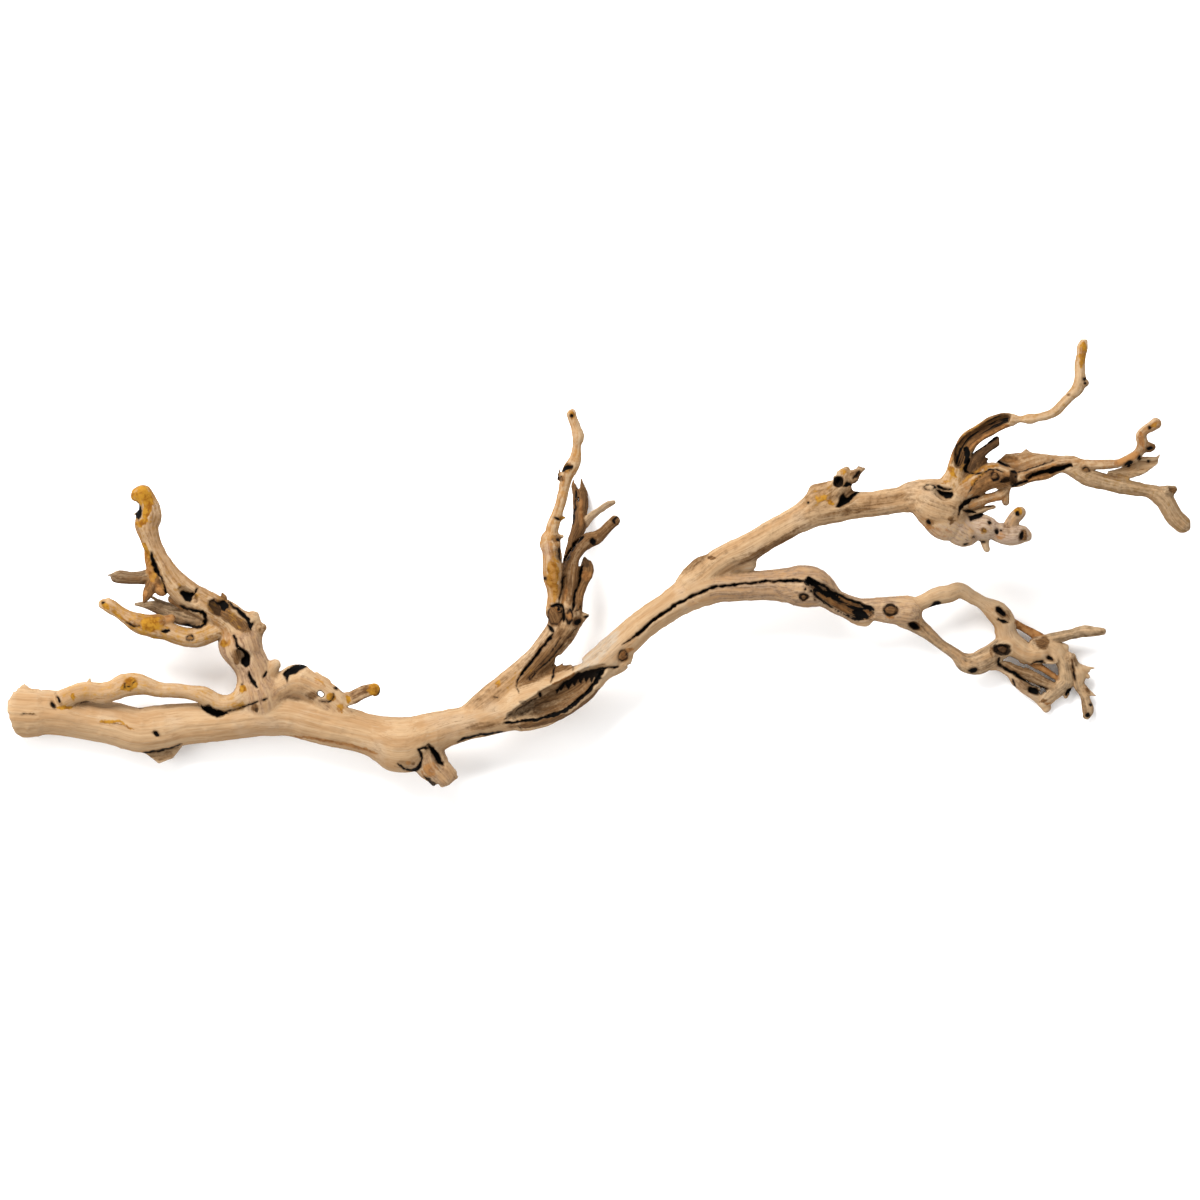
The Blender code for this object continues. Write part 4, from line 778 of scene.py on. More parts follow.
# Strokes of colour: width, strength and middle line.
STROKES = {
    "grey": [
        (7, 0.6, [(-70, -117.5), (-56, -110.5), (-46, -104)]),
        (3.2, 0.8, [(-60, -105), (-50, -107.5), (-43, -113)]),
    ],
    "brown": [
        (5, 0.9, [(-338.5, -6), (-337, -12), (-334, -18), (-331, -22)]),
        (3, 0.8, [(-346.5, -12), (-343, -18)]),
        (3.5, 0.5, [(-33, -79.5), (-26, -79.5), (-20, -79)]),
        (4.2, 0.9, [(-59, -124), (-40, -120.6), (-20, -114.5), (-5, -102.8), (1, -96)]),
        (4, 0.85, [(-18, 55), (-19, 40), (-20.5, 28), (-22, 14)]),
        (2.4, 0.75, [(-17, -12), (-20, -22), (-21.5, -32)]),
        (2.2, 0.6, [(-12.3, -14), (-14.5, -24), (-15.5, -30)]),
        (1.8, 0.8, [(268, 76), (269.5, 86), (275, 95.5), (284, 103), (296, 110), (306, 114.6)]),
        (6, 0.3, [(190, 45), (215, 48), (238, 48), (262, 44)]),
        (0.9, 0.7, [(-380, -120.4), (-371, -121), (-362, -123), (-356, -127)]),
        (1, 0.7, [(-437, -113.8), (-433, -113.8), (-430, -115.2), (-427.5, -115.6)]),
        (1.2, 0.6, [(-388, -103.5), (-382, -102.8), (-376, -103.3)]),
        (1.2, 0.5, [(-297, -56), (-292, -52.5), (-289, -52), (-286, -53.5)]),
        (2.6, 0.55, [(167, 46.5), (177, 50.5), (187, 55)]),
        (1.6, 0.7, [(264, 35), (269, 35.5), (267, 30), (270.5, 33.5)]),
        (2.6, 0.8, [(337, -105.5), (342.5, -104.3)]),
        (2.2, 0.6, [(361.5, -72.5), (362.3, -80), (363.6, -88.5)]),
        (3, 0.6, [(299.5, -63), (300, -67), (300.5, -71)]),
        (3, 0.55, [(372, -95), (375, -98)]),
        (2, 0.45, [(100, 4), (120, 9), (140, 20), (157, 30)]),
    ],
    "gold": [
        (5, 1.1, [(-345.5, 15), (-344.6, 8), (-342.5, 0), (-340.5, -6), (-339, -12)]),
        (11, 1.2, [(-351, 52.5), (-347, 53), (-344, 51)]),
        (6, 1.1, [(-342, 53), (-342.5, 47), (-343, 41), (-345, 35)]),
        (4.5, 0.9, [(-344, 33), (-348, 30.2), (-351, 30)]),
        (1.3, 0.8, [(-217, -86), (-210, -90), (-208, -94)]),
        (1.8, 0.8, [(-35, 6), (-33, 3), (-30, 1)]),
        (3, 0.9, [(-32.6, -13), (-32.6, -20), (-33.5, -28)]),
        (3.2, 0.8, [(267.5, 74.5), (269, 69), (272, 66)]),
        (2.2, 0.7, [(283.5, 60.5), (290, 67.5), (296, 73.5), (303, 75)]),
        (1.8, 0.8, [(-381, -119.6), (-374, -120.2), (-368, -120), (-362, -120.4)]),
        (1.6, 0.8, [(-366, -121.8), (-361, -122.2), (-358, -125), (-354, -126.3)]),
        (2.2, 1, [(-413, -110), (-407, -109.2), (-400.5, -109)]),
        (3.4, 0.9, [(-401.5, -99), (-400.5, -104)]),
        (5, 0.95, [(-377, -31), (-374, -33.5)]),
        (2.6, 0.7, [(-372, -34), (-365, -39.5), (-360, -44)]),
        (9.5, 1, [(-344.5, -46), (-340, -46), (-336.5, -45)]),
        (6.5, 1, [(-174, -96.3), (-171.5, -95.5)]),
        (3, 0.8, [(-31, 35), (-26, 35.2)]),
        (3, 0.7, [(-192, -101), (-190.5, -105)]),
        (4, 0.7, [(-197, -110), (-196, -113)]),
        (5, 0.8, [(174, 48), (178, 46)]),
        (4.5, 0.8, [(266.5, 73.5), (269, 70)]),
        (3.5, 0.6, [(261, 61.5), (265, 63)]),
        (4, 0.7, [(283, 59), (287.5, 65.5)]),
        (2.4, 0.6, [(275, 60), (287, 70), (294, 75)]),
        (3, 0.8, [(320.8, 40.5), (321.5, 37.5)]),
        (5, 0.7, [(368.7, 168), (367.5, 160), (366.5, 150)]),
        (4.5, 0.8, [(420, 104), (424, 106.5)]),
        (5, 0.8, [(-20, 115.5), (-20.5, 111)]),
    ],
    "orange": [
        (2.2, 0.8, [(167, -22), (179, -30), (193, -37.5)]),
        (2.2, 0.8, [(184, -29), (195, -33), (208, -37.5)]),
        (1.6, 0.7, [(172, -20), (184, -25.5), (196, -30.5)]),
        (3, 0.8, [(-345, -20), (-346, -27)]),
        (1.6, 0.9, [(-34.8, -91.5), (-26, -87.8), (-17.8, -83.8)]),
        (3.5, 0.8, [(16.5, -68), (22, -65.8), (26.5, -64.6)]),
        (3, 0.7, [(-25.2, -16), (-26.2, -24), (-26.5, -30)]),
        (2.6, 0.7, [(-13.2, 50), (-13.2, 38), (-14, 28)]),
        (2.2, 0.8, [(284, 86.5), (291, 92), (299, 97.3), (307, 101.5), (313.5, 104.5)]),
        (1.8, 0.7, [(-235, -130.7), (-220, -133), (-200, -136.3), (-185, -139), (-168, -144.6)]),
        (3, 0.8, [(278.5, 85), (284.5, 90.5), (290, 94.5), (298, 99.5), (306, 103.5), (312, 105)]),
        (2.6, 0.7, [(267, 77), (268.5, 87), (274, 96)]),
        (2, 0.7, [(247, 28.5), (251, 26.8), (254.5, 27.5)]),
        (4.5, 0.7, [(412, 100), (412.5, 94), (414, 88)]),
        (5, 0.6, [(392, 76.5), (404, 80), (410, 84)]),
        (3.2, 0.9, [(318, -44.5), (325, -48.5), (331, -52.5)]),
        (2.6, 0.9, [(331, -75.5), (337, -78.6), (344, -83), (350, -87.5)]),
        (2.4, 0.7, [(340.5, -107.5), (345, -106.5)]),
        (1.8, 0.7, [(225.5, -41.3), (219, -39.8)]),
    ],
    "dark": [
        (1, 0.8, [(-44, -100.5), (-55, -106), (-66, -114), (-74, -119.5)]),
        (0.9, 0.7, [(-38, -104), (-50, -109.5), (-62, -116)]),
    ],
}

# Soft patches of colour, some of them stains and some painted shade on shaded faces and in hollows: x, y,
# half width, half height, turn and strength.
STAINS_AND_SHADE = {
    "cream": [(0, -66, 24, 8, 40, 0.42)],
    "pink": [(-38, 10, 5, 9, 0, 0.5)],
    "grey": [
        (-30.6, 7, 3, 5.5, 15, 0.7), (-37, -72, 20, 3.5, 50, 0.6), (-30, -103, 26, 8.5, 28, 0.6),
        (-8, -91, 14, 6, 45, 0.5), (-278, -43.5, 14, 4.2, -30, 0.9), (-274, -69.5, 3.6, 3, 0, 1),
        (-122, -152, 8, 4, 50, 0.4), (309, 63.5, 4, 3.4, 0, 0.8), (279, 22, 8, 5, 30, 0.3),
        (316, 24, 5, 6, 0, 0.25),
    ],
    "brown": [
        (-32, 19.5, 5, 3, 0, 0.7), (-33, -40, 6.5, 8.5, -8, 0.9), (-16, -44, 5, 4, 0, 0.7),
        (-9.5, 0, 4.6, 6.5, 20, 1), (12.5, 33, 3.6, 3, 0, 0.9), (-22, 6, 4, 12, -28, 0.8),
        (-40, -66, 26, 7.5, 50, 0.55), (-25, -55, 9, 7, 45, 0.5), (-57, -121.5, 16, 3.5, 8, 0.5),
        (-88, -123, 16, 3.6, 6, 0.5), (-76, -91, 1.2, 1.2, 0, 0.8), (-78, -94, 0.9, 0.7, 0, 0.7),
        (-340, -44, 9, 6, 15, 0.5), (-355, -45.5, 6, 3, -15, 0.6), (-291, -33, 8, 6.5, -30, 0.8),
        (-285, -25.5, 3.4, 3.6, 0, 0.9), (-306.5, -25.5, 2.6, 2.4, 0, 0.7), (-284, -41, 8, 3.4, -25, 0.6),
        (-275.5, -73.5, 2.2, 3, 20, 0.9), (-360, -93, 1.4, 1.8, 20, 0.9), (-355, -90, 2, 0.9, 30, 0.8),
        (-358, -96.5, 1.6, 0.8, 0, 0.8), (-349, -110.2, 2.4, 0.9, -5, 0.6), (-262, -109.3, 3, 3, 0, 0.9),
        (172, 53.5, 10, 4, 25, 0.5), (-218, -100, 5, 3.4, 0, 0.6), (-200, -95, 2.4, 2, 0, 0.6),
        (-184, -99.5, 7, 4, 25, 0.4), (-177, -95.5, 2.6, 4, 0, 0.8), (-166.8, -96, 1.6, 3.4, 0, 0.7),
        (-141, -152.5, 1.6, 1.6, 0, 0.6), (200, 43, 50, 4.5, 14, 0.5), (130, 12, 30, 3.5, 28, 0.5),
        (266.5, 34, 2.6, 2.2, 0, 0.7), (294, 62, 13, 8, 40, 0.85), (292, 81, 12, 5, 50, 0.9),
        (340, 70.5, 20, 4, 15, 0.85), (288, 43.5, 8, 3, 15, 0.5), (323.5, 22, 3.4, 5, 0, 0.7),
        (-287.5, -33, 10, 6.5, -20, 0.75), (-275, -45, 13, 4.5, -35, 0.75), (-276, -70, 4, 6, 10, 0.65),
        (-218.5, -100, 5.5, 4, 0, 0.55), (-262, -109, 4, 4, 0, 0.6), (-346, -41, 12, 4, 25, 0.4),
        (-354, -46, 7, 4, -10, 0.5), (-46, -78, 24, 9, 43, 0.65), (-30, -58, 13, 7, 50, 0.55),
        (-24, -20, 4.5, 16, 5, 0.35), (-27, -38, 14, 9, 0, 0.45), (-33, 12, 5, 9, 0, 0.35),
        (252, 31, 4, 4, 0, 0.5), (292, 101, 24, 6.5, 33, 1), (275, 84, 6.5, 13, 15, 1),
        (293, 60, 14, 8, 40, 0.75), (306, 63, 10, 7, 0, 0.8), (335, 65.5, 16, 2.6, 15, 0.75),
        (313, 79.5, 7, 3, 0, 0.65), (272, 44, 10, 6, 20, 0.35), (357, 129, 1.6, 1.4, 0, 0.7),
        (339, -60, 5, 6, -20, 0.75), (333, -56, 4, 3, -30, 0.6), (325, -93, 9, 4, -35, 0.5),
        (370, -108, 5, 9, 10, 0.3), (363, -76, 3, 8, -5, 0.45), (436.5, 56.3, 3, 2.4, 0, 0.75),
        (390, 67.5, 15, 2.4, -5, 0.45), (-27, -101, 30, 11, 30, 0.6), (186, -30, 24, 6, -27, 0.7),
        (243, -47, 6, 4, -20, 0.5), (309, -38, 8, 5, -40, 0.5), (345, -73, 4, 3, -20, 0.4),
        (-126, -153, 8, 11, 30, 0.25), (-148, -153, 9, 5, -10, 0.3), (191, 64, 9, 8, 0, 0.4),
        (-334, -146.5, 14, 4, 5, 0.4), (310, 26, 4, 5, 0, 0.4), (86, 4.3, 3.5, 1.6, 0, 0.9),
        (-77, -91, 2, 1.6, 0, 0.6), (-84, -96, 1.4, 1.2, 0, 0.5), (302, 66, 12, 7, 0, 0.3),
    ],
    "gold": [
        (-34.2, -5.8, 5, 8.5, 12, 1), (-36.8, -13, 3.4, 6, 20, 0.8), (-62, -88, 16, 5, 40, 0.22),
        (-76.5, -91.5, 3, 3.6, 0, 0.5), (-341, -46, 8, 6.4, 5, 1), (-285, -60.5, 3.4, 3.4, 0, 0.9),
        (-357, -91.5, 7, 5, 10, 1), (-361, -93.5, 3.4, 3.4, 0, 0.9), (169, 50, 5, 3.4, 0, 0.55),
        (-204.5, -101.5, 3.2, 3.2, 0, 1), (-197, -110, 3.4, 4, 0, 0.6), (-191, -103.3, 1.8, 3.4, 10, 1),
        (-171.5, -95.5, 4.6, 4.6, 0, 1), (293, 25.5, 3.4, 3, 0, 0.45), (319, 40.5, 3.4, 2.6, 0, 0.8),
        (-357, -91, 6.5, 4.6, 15, 1), (-271, -95, 3, 3, 0, 0.9), (-284, -60, 5, 4, 0, 0.6),
        (-204, -102, 4, 3, 0, 0.9), (-275, -108, 6, 4, 0, 0.45), (-345, 52, 10, 9, 0, 0.6),
        (-36, -8, 5, 16, 0, 0.35), (186, 70, 3, 2.5, 0, 0.5),
    ],
    "orange": [
        (-35, 15, 5, 6, 0, 0.35), (-22, -41, 2.6, 5, 0, 0.6), (-9, -9, 4, 5, 20, 0.6),
        (19, -69.5, 4, 5, -25, 0.9), (-330, -43, 5, 4, 30, 0.5), (-282, -56, 9, 5, -60, 0.4),
        (-293, -45, 9, 5, -30, 0.25), (-209, -90, 9, 5, -30, 0.4), (-130, -158, 9, 6, 35, 0.5),
        (-145, -151, 2.4, 1.6, 0, 0.6), (250.5, 27.8, 2.2, 1.8, 0, 0.7), (335, 65, 16, 2, 12, 0.4),
        (300, 47, 14, 4.5, 18, 0.5), (305.5, 21.5, 4.5, 3.4, 0, 0.4), (248, 28, 10, 8, 0, 0.35),
        (259, 24, 14, 4.5, -10, 0.35), (284, 96, 14, 5, 35, 0.4),
    ],
    "dark": [
        (-10, 1.5, 3.6, 4.2, 20, 0.7), (-23.6, 4, 2.2, 8, -25, 0.5), (-16, -87.5, 18, 3.6, 22, 0.55),
        (-260.6, -110.5, 1.6, 2.2, -20, 0.8), (315.5, 65, 3.4, 6.5, 0, 0.8), (284, 76, 4.4, 7, 0, 0.6),
        (297, 90, 9, 2.6, 35, 0.6), (333, -97, 6, 3.2, -30, 0.6),
    ],
}

# What each limb's wood is like, where it isn't plain tan: colours and their weights.
LIMB_COLOURS = {
    "crown_stem": {"pink": 0.35, "brown": 0.25}, "crown_upright": {"pink": 0.2, "brown": 0.3, "gold": 0.2},
    "crown_grey_twig": {"grey": 0.9, "brown": 0.4}, "crown_splinter": {"grey": 0.5, "brown": 0.15},
    "splinter_blade": {"grey": 0.7, "brown": 0.25}, "grey_twig_spike": {"grey": 0.8},
    "crown_peg": {"brown": 0.8, "orange": 0.3}, "crown_web": {"brown": 0.6, "orange": 0.3},
    "crown_strut": {"gold": 0.4, "orange": 0.6, "brown": 0.4},
    "crown_finger": {"pink": 0.2, "brown": 0.2, "gold": 0.35}, "finger_stub": {"orange": 0.6, "brown": 0.3},
    "finger_hump": {"gold": 0.7}, "crown_hook": {"gold": 0.9}, "crown_burr": {"brown": 0.2},
    "crown_burr_end": {"brown": 0.5}, "upright_burr": {"brown": 0.7}, "side_twig": {"gold": 0.25},
    "stub": {"pink": 0.2, "brown": 0.25}, "crotch_peg": {"brown": 1.1}, "spur_stem": {"brown": 0.35},
    "spur_twig": {"gold": 0.3, "orange": 0.3}, "spur_web": {"brown": 0.7},
    "spur_middle": {"grey": 0.2, "brown": 0.65}, "spur_plank": {"brown": 1.1, "dark": 0.25},
    "spur_plank_tips": {"brown": 0.9}, "spur_plank_tips_right": {"brown": 0.8},
    "spur_side_splinter": {"grey": 0.3}, "spur_bulb": {"orange": 0.2, "brown": 0.8},
    "spur_burl": {"brown": 0.6}, "spur_spike": {"brown": 0.4}, "scoop_rim": {"brown": 0.2},
    "crotch_web": {"cream": 0.2}, "upper_limb": {"brown": 0.25}, "lower_limb": {"pink": 0.35, "grey": 0.3},
    "lower_arm": {"pink": 0.2, "grey": 0.4}, "upper_arm": {"brown": 0.1},
    "crown_lobe": {"pink": 0.3, "cream": 0.35}, "pale_lumps": {"pink": 0.4, "cream": 0.5, "grey": 0.15},
    "pale_peg": {"gold": 0.25, "cream": 0.3}, "pale_twig": {"pink": 0.3, "grey": 0.3},
    "scooped_limb": {"brown": 0.25, "gold": 0.2}, "scooped_limb_knot": {"brown": 0.5},
    "dark_stub": {"brown": 1.1, "dark": 0.5}, "running_limb": {"brown": 0.35, "orange": 0.3},
    "running_knob": {"brown": 0.7}, "twig_flake": {"brown": 0.6},
    "inner_strand": {"orange": 0.4, "brown": 0.4}, "inner_splinter": {"brown": 0.3},
    "inner_peg": {"brown": 0.5}, "grey_strand": {"grey": 0.5, "brown": 0.5}, "lower_strand": {"pink": 0.35},
    "torn_strand": {"orange": 0.5}, "orange_splinter": {"orange": 0.9}, "orange_strip": {"orange": 1},
    "lower_grey_twig": {"grey": 0.45}, "right_strand": {"cream": 0.1, "grey": 0.3},
    "strand_knob": {"brown": 0.5}, "far_strand": {"brown": 0.15, "grey": 0.4},
    "far_strand_knob": {"brown": 0.4}, "cross_pegs": {"brown": 0.5},
    "outer_branch": {"grey": 0.42, "gold": 0.15}, "outer_corner": {"grey": 0.5},
    "knob_stump": {"brown": 0.4, "gold": 0.15}, "stump_neck": {"brown": 0.6},
    "stump_shoulder": {"brown": 0.4}, "knob_twiglet": {"brown": 0.5}, "torn_flap": {"brown": 0.6},
    "hump": {"pink": 0.15, "brown": 0.2}, "hump_twig": {"brown": 0.45, "pink": 0.2},
}

# Corners and torn ends taken off right through, as outlines.
CUTS = [
    [
        (303.6, 99), (304.2, 95.5), (304.8, 90.3), (302, 88), (296.8, 84.6), (293, 81), (300, 80),
        (312, 88), (312, 99),
    ],
    [
        (-15.5, -1.6), (-13.6, -2), (-12.6, 1), (-11.9, 3.6), (-10.6, 5.6), (-9.4, 4.2), (-6.6, 2.4),
        (-2, 3), (-3, 9), (-8, 11.5), (-10.4, 9.8), (-13.2, 6), (-14.7, 3),
    ],
    [
        (-455, -113), (-450.2, -113), (-449.2, -118), (-447.2, -124), (-444.3, -129.6), (-439.5, -132.6),
        (-437, -140), (-455, -140),
    ],
    [
        (-455, -86), (-455, -105), (-450.3, -104.5), (-447.6, -100.6), (-447, -97.6), (-443.9, -97),
        (-443.7, -94.6), (-441.3, -94.3), (-441.2, -92.6), (-438.7, -91.9), (-438.6, -86),
    ],
    [
        (-437, -86), (-437.2, -92.5), (-435.8, -92.4), (-434.8, -93.9), (-431, -94.6), (-425, -96.2),
        (-425, -86),
    ],
    [
        (-145, -180), (-140, -160), (-130, -166), (-126, -169.5), (-124, -168.2), (-124.4, -167.4),
        (-121.9, -167.4), (-120.4, -169.5), (-119, -170.2), (-114, -168.2), (-110, -164.7),
        (-106.6, -162.4), (-105.5, -161.6), (-108.4, -161), (-108.4, -158.6), (-112, -154), (-115.2, -150),
        (-115.4, -147), (-111, -145), (-98, -150), (-98, -180),
    ],
    [
        (-222, -76), (-221, -79.3), (-216.5, -82.6), (-214.6, -82), (-212.6, -83.7), (-210.8, -85.2),
        (-204.7, -88.2), (-203.6, -90.8), (-199.6, -93.4), (-196.2, -96.8), (-194.4, -98.2), (-192.5, -98),
        (-188, -90), (-205, -74),
    ],
    [
        (-192.3, -109.4), (-190.5, -107.9), (-184.5, -106.4), (-178, -102.4), (-172, -99.9), (-168, -105),
        (-168, -115.4), (-172, -114.5), (-180, -112.1), (-187, -110.4),
    ],
    [
        (-33.3, -76), (-31.8, -78), (-29, -76.8), (-27.4, -74.6), (-27, -77), (-20.6, -76.5),
        (-19.9, -78.2), (-16, -76.9), (-12, -75.2), (-13, -72), (-20, -71), (-30, -69), (-33, -71),
    ],
    [
        (22, -76.7), (24.6, -76.9), (28, -77), (28, -84), (20.2, -80.7), (22.8, -79.1),
    ],
    [
        (193.2, 56.4), (192.2, 59), (193.3, 61), (197, 61.8), (198.3, 64.9), (199.5, 67.8), (203, 71.8),
        (206, 70), (206, 57.5), (199.9, 57.3), (198.3, 56.3), (194.5, 55.8),
    ],
    [
        (176, 64), (178.4, 63.7), (178.5, 66.6), (181, 67.6), (181, 69.9), (184, 72.1), (188.5, 74.4),
        (191.2, 73.6), (191.6, 71.6), (196.2, 72.3), (197.2, 75), (197, 80), (180, 80), (172, 70),
    ],
    [
        (199.1, 75), (200.4, 73.7), (202.4, 73.9), (203.2, 72.3), (207, 72), (207, 80), (199, 80),
    ],
    [
        (-360, 47), (-352.6, 47.9), (-350.2, 46.8), (-349.4, 45), (-350, 41.2), (-351.6, 39.4),
        (-360, 39.4),
    ],
    [
        (-18.6, 67), (-18.3, 62), (-16.8, 60), (-16.3, 57.5), (-14.2, 57.5), (-13.8, 62), (-13.9, 67),
    ],
    [
        (-12.6, 67), (-11, 60.5), (-9.6, 57.5), (-8.4, 55.2), (-8, 50.5), (-3, 50), (-3, 67),
    ],
]

# Narrow slits that go right through: width and middle line.
SLITS = [
    (4.6, [(-212.2, -98.6), (-211.2, -99.4)]),
    (1.1, [(-15.4, 51), (-15.3, 47.8)]),
    (1.7, [(326.5, -76.8), (333, -81), (341, -85.3), (348.5, -89.3)]),
    (1.6, [(330.3, -91.3), (333, -92.2), (336, -94)]),
    (1.5, [(337.4, -95.4), (342, -97.6)]),
    (1.6, [(309.5, -73.2), (317, -74.2), (325, -78.5)]),
]


def smooth_step(low, high, value):
    """Zero at the low value, one at the high one, and smooth between them."""
    t = np.clip((value - low) / (high - low), 0, 1)
    return t * t * (3 - 2 * t)


def raise_to(values, near, more):
    """Raises the values of some points to new ones, where those are higher."""
    values[near] = np.maximum(values[near], more)


def hashed(cell, corner, seed):
    """A repeatable number from 0 to 1 for each lattice point."""
    x, y, z = (cell[:, axis] + corner[axis] for axis in range(3))
    mixed = (x * 374761393 + y * 668265263 + z * 1911520717 + seed * 974711) & 0xFFFFFFFF
    mixed = ((mixed ^ (mixed >> 13)) * 1274126177) & 0xFFFFFFFF
    return ((mixed ^ (mixed >> 16)) & 0xFFFF) / 65535.0


def noise(points, seed):
    """Smooth noise from -1 to 1, one lattice cell for each unit."""
    cell = np.floor(points).astype(np.int64)
    t = points - cell
    t = t * t * (3 - 2 * t)
    total = np.zeros(len(points))
    for corner in CUBE:
        weight = np.ones(len(points))
        for axis in range(3):
            weight *= t[:, axis] if corner[axis] else 1 - t[:, axis]
        total += weight * hashed(cell, corner, seed)
    return total * 2 - 1


def flat_noise(x, y, size, seed):
    """Smooth noise over the photo's plane."""
    return noise(np.stack([x, y, np.zeros(len(x))], axis=1) / size, seed)


def path_of(stations):
    """The stations joined by a smooth line, with a point every few millimetres."""
    rows = np.array(stations, float)
    steps = np.linalg.norm(np.diff(rows[:, :3], axis=0), axis=1)
    slopes = np.diff(rows, axis=0) / steps[:, None]
    tangents = np.vstack([slopes[:1], slopes[-1:]])
    if len(rows) > 2:
        before, after = steps[:-1, None], steps[1:, None]
        middle = (slopes[:-1] * after + slopes[1:] * before) / (before + after)
        tangents = np.vstack([slopes[:1], middle, slopes[-1:]])
    points = [rows[0]]
    for i, step in enumerate(steps):
        count = max(1, int(np.ceil(step / PATH_SPACING)))
        for t in np.arange(1, count + 1) / count:
            points.append(
                rows[i] * (1 + 2 * t) * (1 - t) ** 2 + rows[i + 1] * (3 - 2 * t) * t * t
                + step * tangents[i] * t * (1 - t) ** 2 - step * tangents[i + 1] * t * t * (1 - t)
            )
    return np.array(points)


def frames_of(path):
    """Two directions across the path at each of its points, which turn as little as they can along it."""
    along = np.gradient(path[:, :3], axis=0)
    along /= np.linalg.norm(along, axis=1)[:, None]
    up = np.array([0.0, 0.0, 1.0]) if abs(along[0][2]) < 0.9 else np.array([1.0, 0.0, 0.0])
    first = []
    for direction in along:
        up = up - direction * np.dot(up, direction)
        up /= np.linalg.norm(up)
        first.append(up)
    first = np.array(first)
    return first, np.cross(along, first)


def grid_of():
    """The grid's lowest corner, and its places along each axis."""
    low = np.array([cad_box[0][axis] / MM - GRID_MARGIN * STEP for axis in range(3)])
    high = np.array([cad_box[1][axis] / MM + GRID_MARGIN * STEP for axis in range(3)])
    axes = [np.arange(low[axis], high[axis] + STEP, STEP, dtype=np.float32) for axis in range(3)]
    return low, axes


def window(low, high):
    """The slices of the grid that hold a box."""
    first = np.maximum(np.floor((low - GRID_LOW) / STEP).astype(int), 0)
    last = np.minimum(np.ceil((high - GRID_LOW) / STEP).astype(int) + 1, [len(axis) for axis in AXES])
    return tuple(slice(a, max(a + 1, b)) for a, b in zip(first, last))


def inner(part, whole):
    """A window's slices counted from the corner of a larger window."""
    return tuple(slice(a.start - b.start, a.stop - b.start) for a, b in zip(part, whole))


def window_axes(where):
    """The places of a window's grid points, each axis ready to be combined with the others."""
    x, y, z = (axis[part] for axis, part in zip(AXES, where))
    return x[:, None, None], y[None, :, None], z[None, None, :]


def columns_over(outline, margin, bottom=None, top=None):
    """The window round a flat outline, through the whole height or between two heights, and the x and y of
    its columns."""
    places = np.array(outline)
    where = window(
        np.array([*places.min(axis=0) - margin, AXES[2][0] if bottom is None else bottom]),
        np.array([*places.max(axis=0) + margin, AXES[2][-1] if top is None else top]),
    )
    x, y = np.meshgrid(AXES[0][where[0]], AXES[1][where[1]], indexing="ij")
    return where, x.ravel().astype(float), y.ravel().astype(float)


def segment_field(where, start, end):
    """How far each grid point of a window lies outside a rounded segment, below zero inside it."""
    x, y, z = (axis - np.float32(value) for axis, value in zip(window_axes(where), start))
    ex, ey, ez = (np.float32(end[axis] - start[axis]) for axis in range(3))
    t = np.clip((x * ex + y * ey + z * ez) / max(ex * ex + ey * ey + ez * ez, np.float32(1e-6)), 0, 1)
    x, y, z = x - t * ex, y - t * ey, z - t * ez
    return np.sqrt(x * x + y * y + z * z) - (np.float32(start[3]) + t * np.float32(end[3] - start[3]))


def limb_field(path):
    """A whole limb's distances, with the window that they fill."""
    reach = path[:, 3].max() + BAND
    whole = window((path[:, :3] - reach).min(axis=0), (path[:, :3] + reach).max(axis=0))
    field = np.full([s.stop - s.start for s in whole], 2 * BAND, np.float32)
    for start, end in zip(path[:-1], path[1:]):
        room = max(start[3], end[3]) + BAND
        part = window(np.minimum(start, end)[:3] - room, np.maximum(start, end)[:3] + room)
        place = inner(part, whole)
        field[place] = np.minimum(field[place], segment_field(part, start, end))
    return whole, field


def grow(field, where, more, blend):
    """Joins a limb's distances to the wood's, flowing together over the blend."""
    old = field[where]
    overlap = np.maximum(blend - np.abs(old - more), 0)
    field[where] = np.minimum(old, more) - overlap * overlap / (4 * blend)


def wear(field, where, hollow, blend):
    """Takes a hollow's distances out of the wood's."""
    old = field[where]
    overlap = np.maximum(blend - np.abs(old + hollow), 0)
    field[where] = np.maximum(old, -hollow) + overlap * overlap / (4 * blend)


def wear_through(field, where, distance, blend):
    """Takes the columns with distances below zero out of the wood, from top to bottom."""
    shape = field[where].shape
    sheet = distance.reshape(shape[:2])[:, :, None].astype(np.float32)
    wear(field, where, np.broadcast_to(sheet, shape), blend)


def near_box(x, y, points, margin):
    """The numbers of the points inside the box round some places, made wider by the margin."""
    places = np.array(points, float)
    low, high = places.min(axis=0) - margin, places.max(axis=0) + margin
    return np.nonzero((x > low[0]) & (x < high[0]) & (y > low[1]) & (y < high[1]))[0]


def line_distance(x, y, line):
    """How far each point lies from a line, how far along the line its nearest place is, and how long the
    line is."""
    nearest = np.full(len(x), 1e9)
    place = np.zeros(len(x))
    passed = 0.0
    for (ax, ay), (bx, by) in zip(line[:-1], line[1:]):
        ex, ey = bx - ax, by - ay
        length = math.hypot(ex, ey)
        t = np.clip(((x - ax) * ex + (y - ay) * ey) / length**2, 0, 1)
        distance = np.hypot(x - ax - t * ex, y - ay - t * ey)
        closer = distance < nearest
        nearest = np.where(closer, distance, nearest)
        place = np.where(closer, passed + t * length, place)
        passed += length
    return nearest, place, passed


def outline_distance(x, y, outline):
    """How far each point lies outside a flat outline, below zero inside it."""
    nearest = line_distance(x, y, outline + outline[:1])[0]
    inside = np.zeros(len(x), bool)
    for (ax, ay), (bx, by) in zip(outline, outline[1:] + outline[:1]):
        if ay == by:
            continue
        inside ^= ((ay > y) != (by > y)) & (x < (bx - ax) * (y - ay) / (by - ay) + ax)
    return np.where(inside, -nearest, nearest)


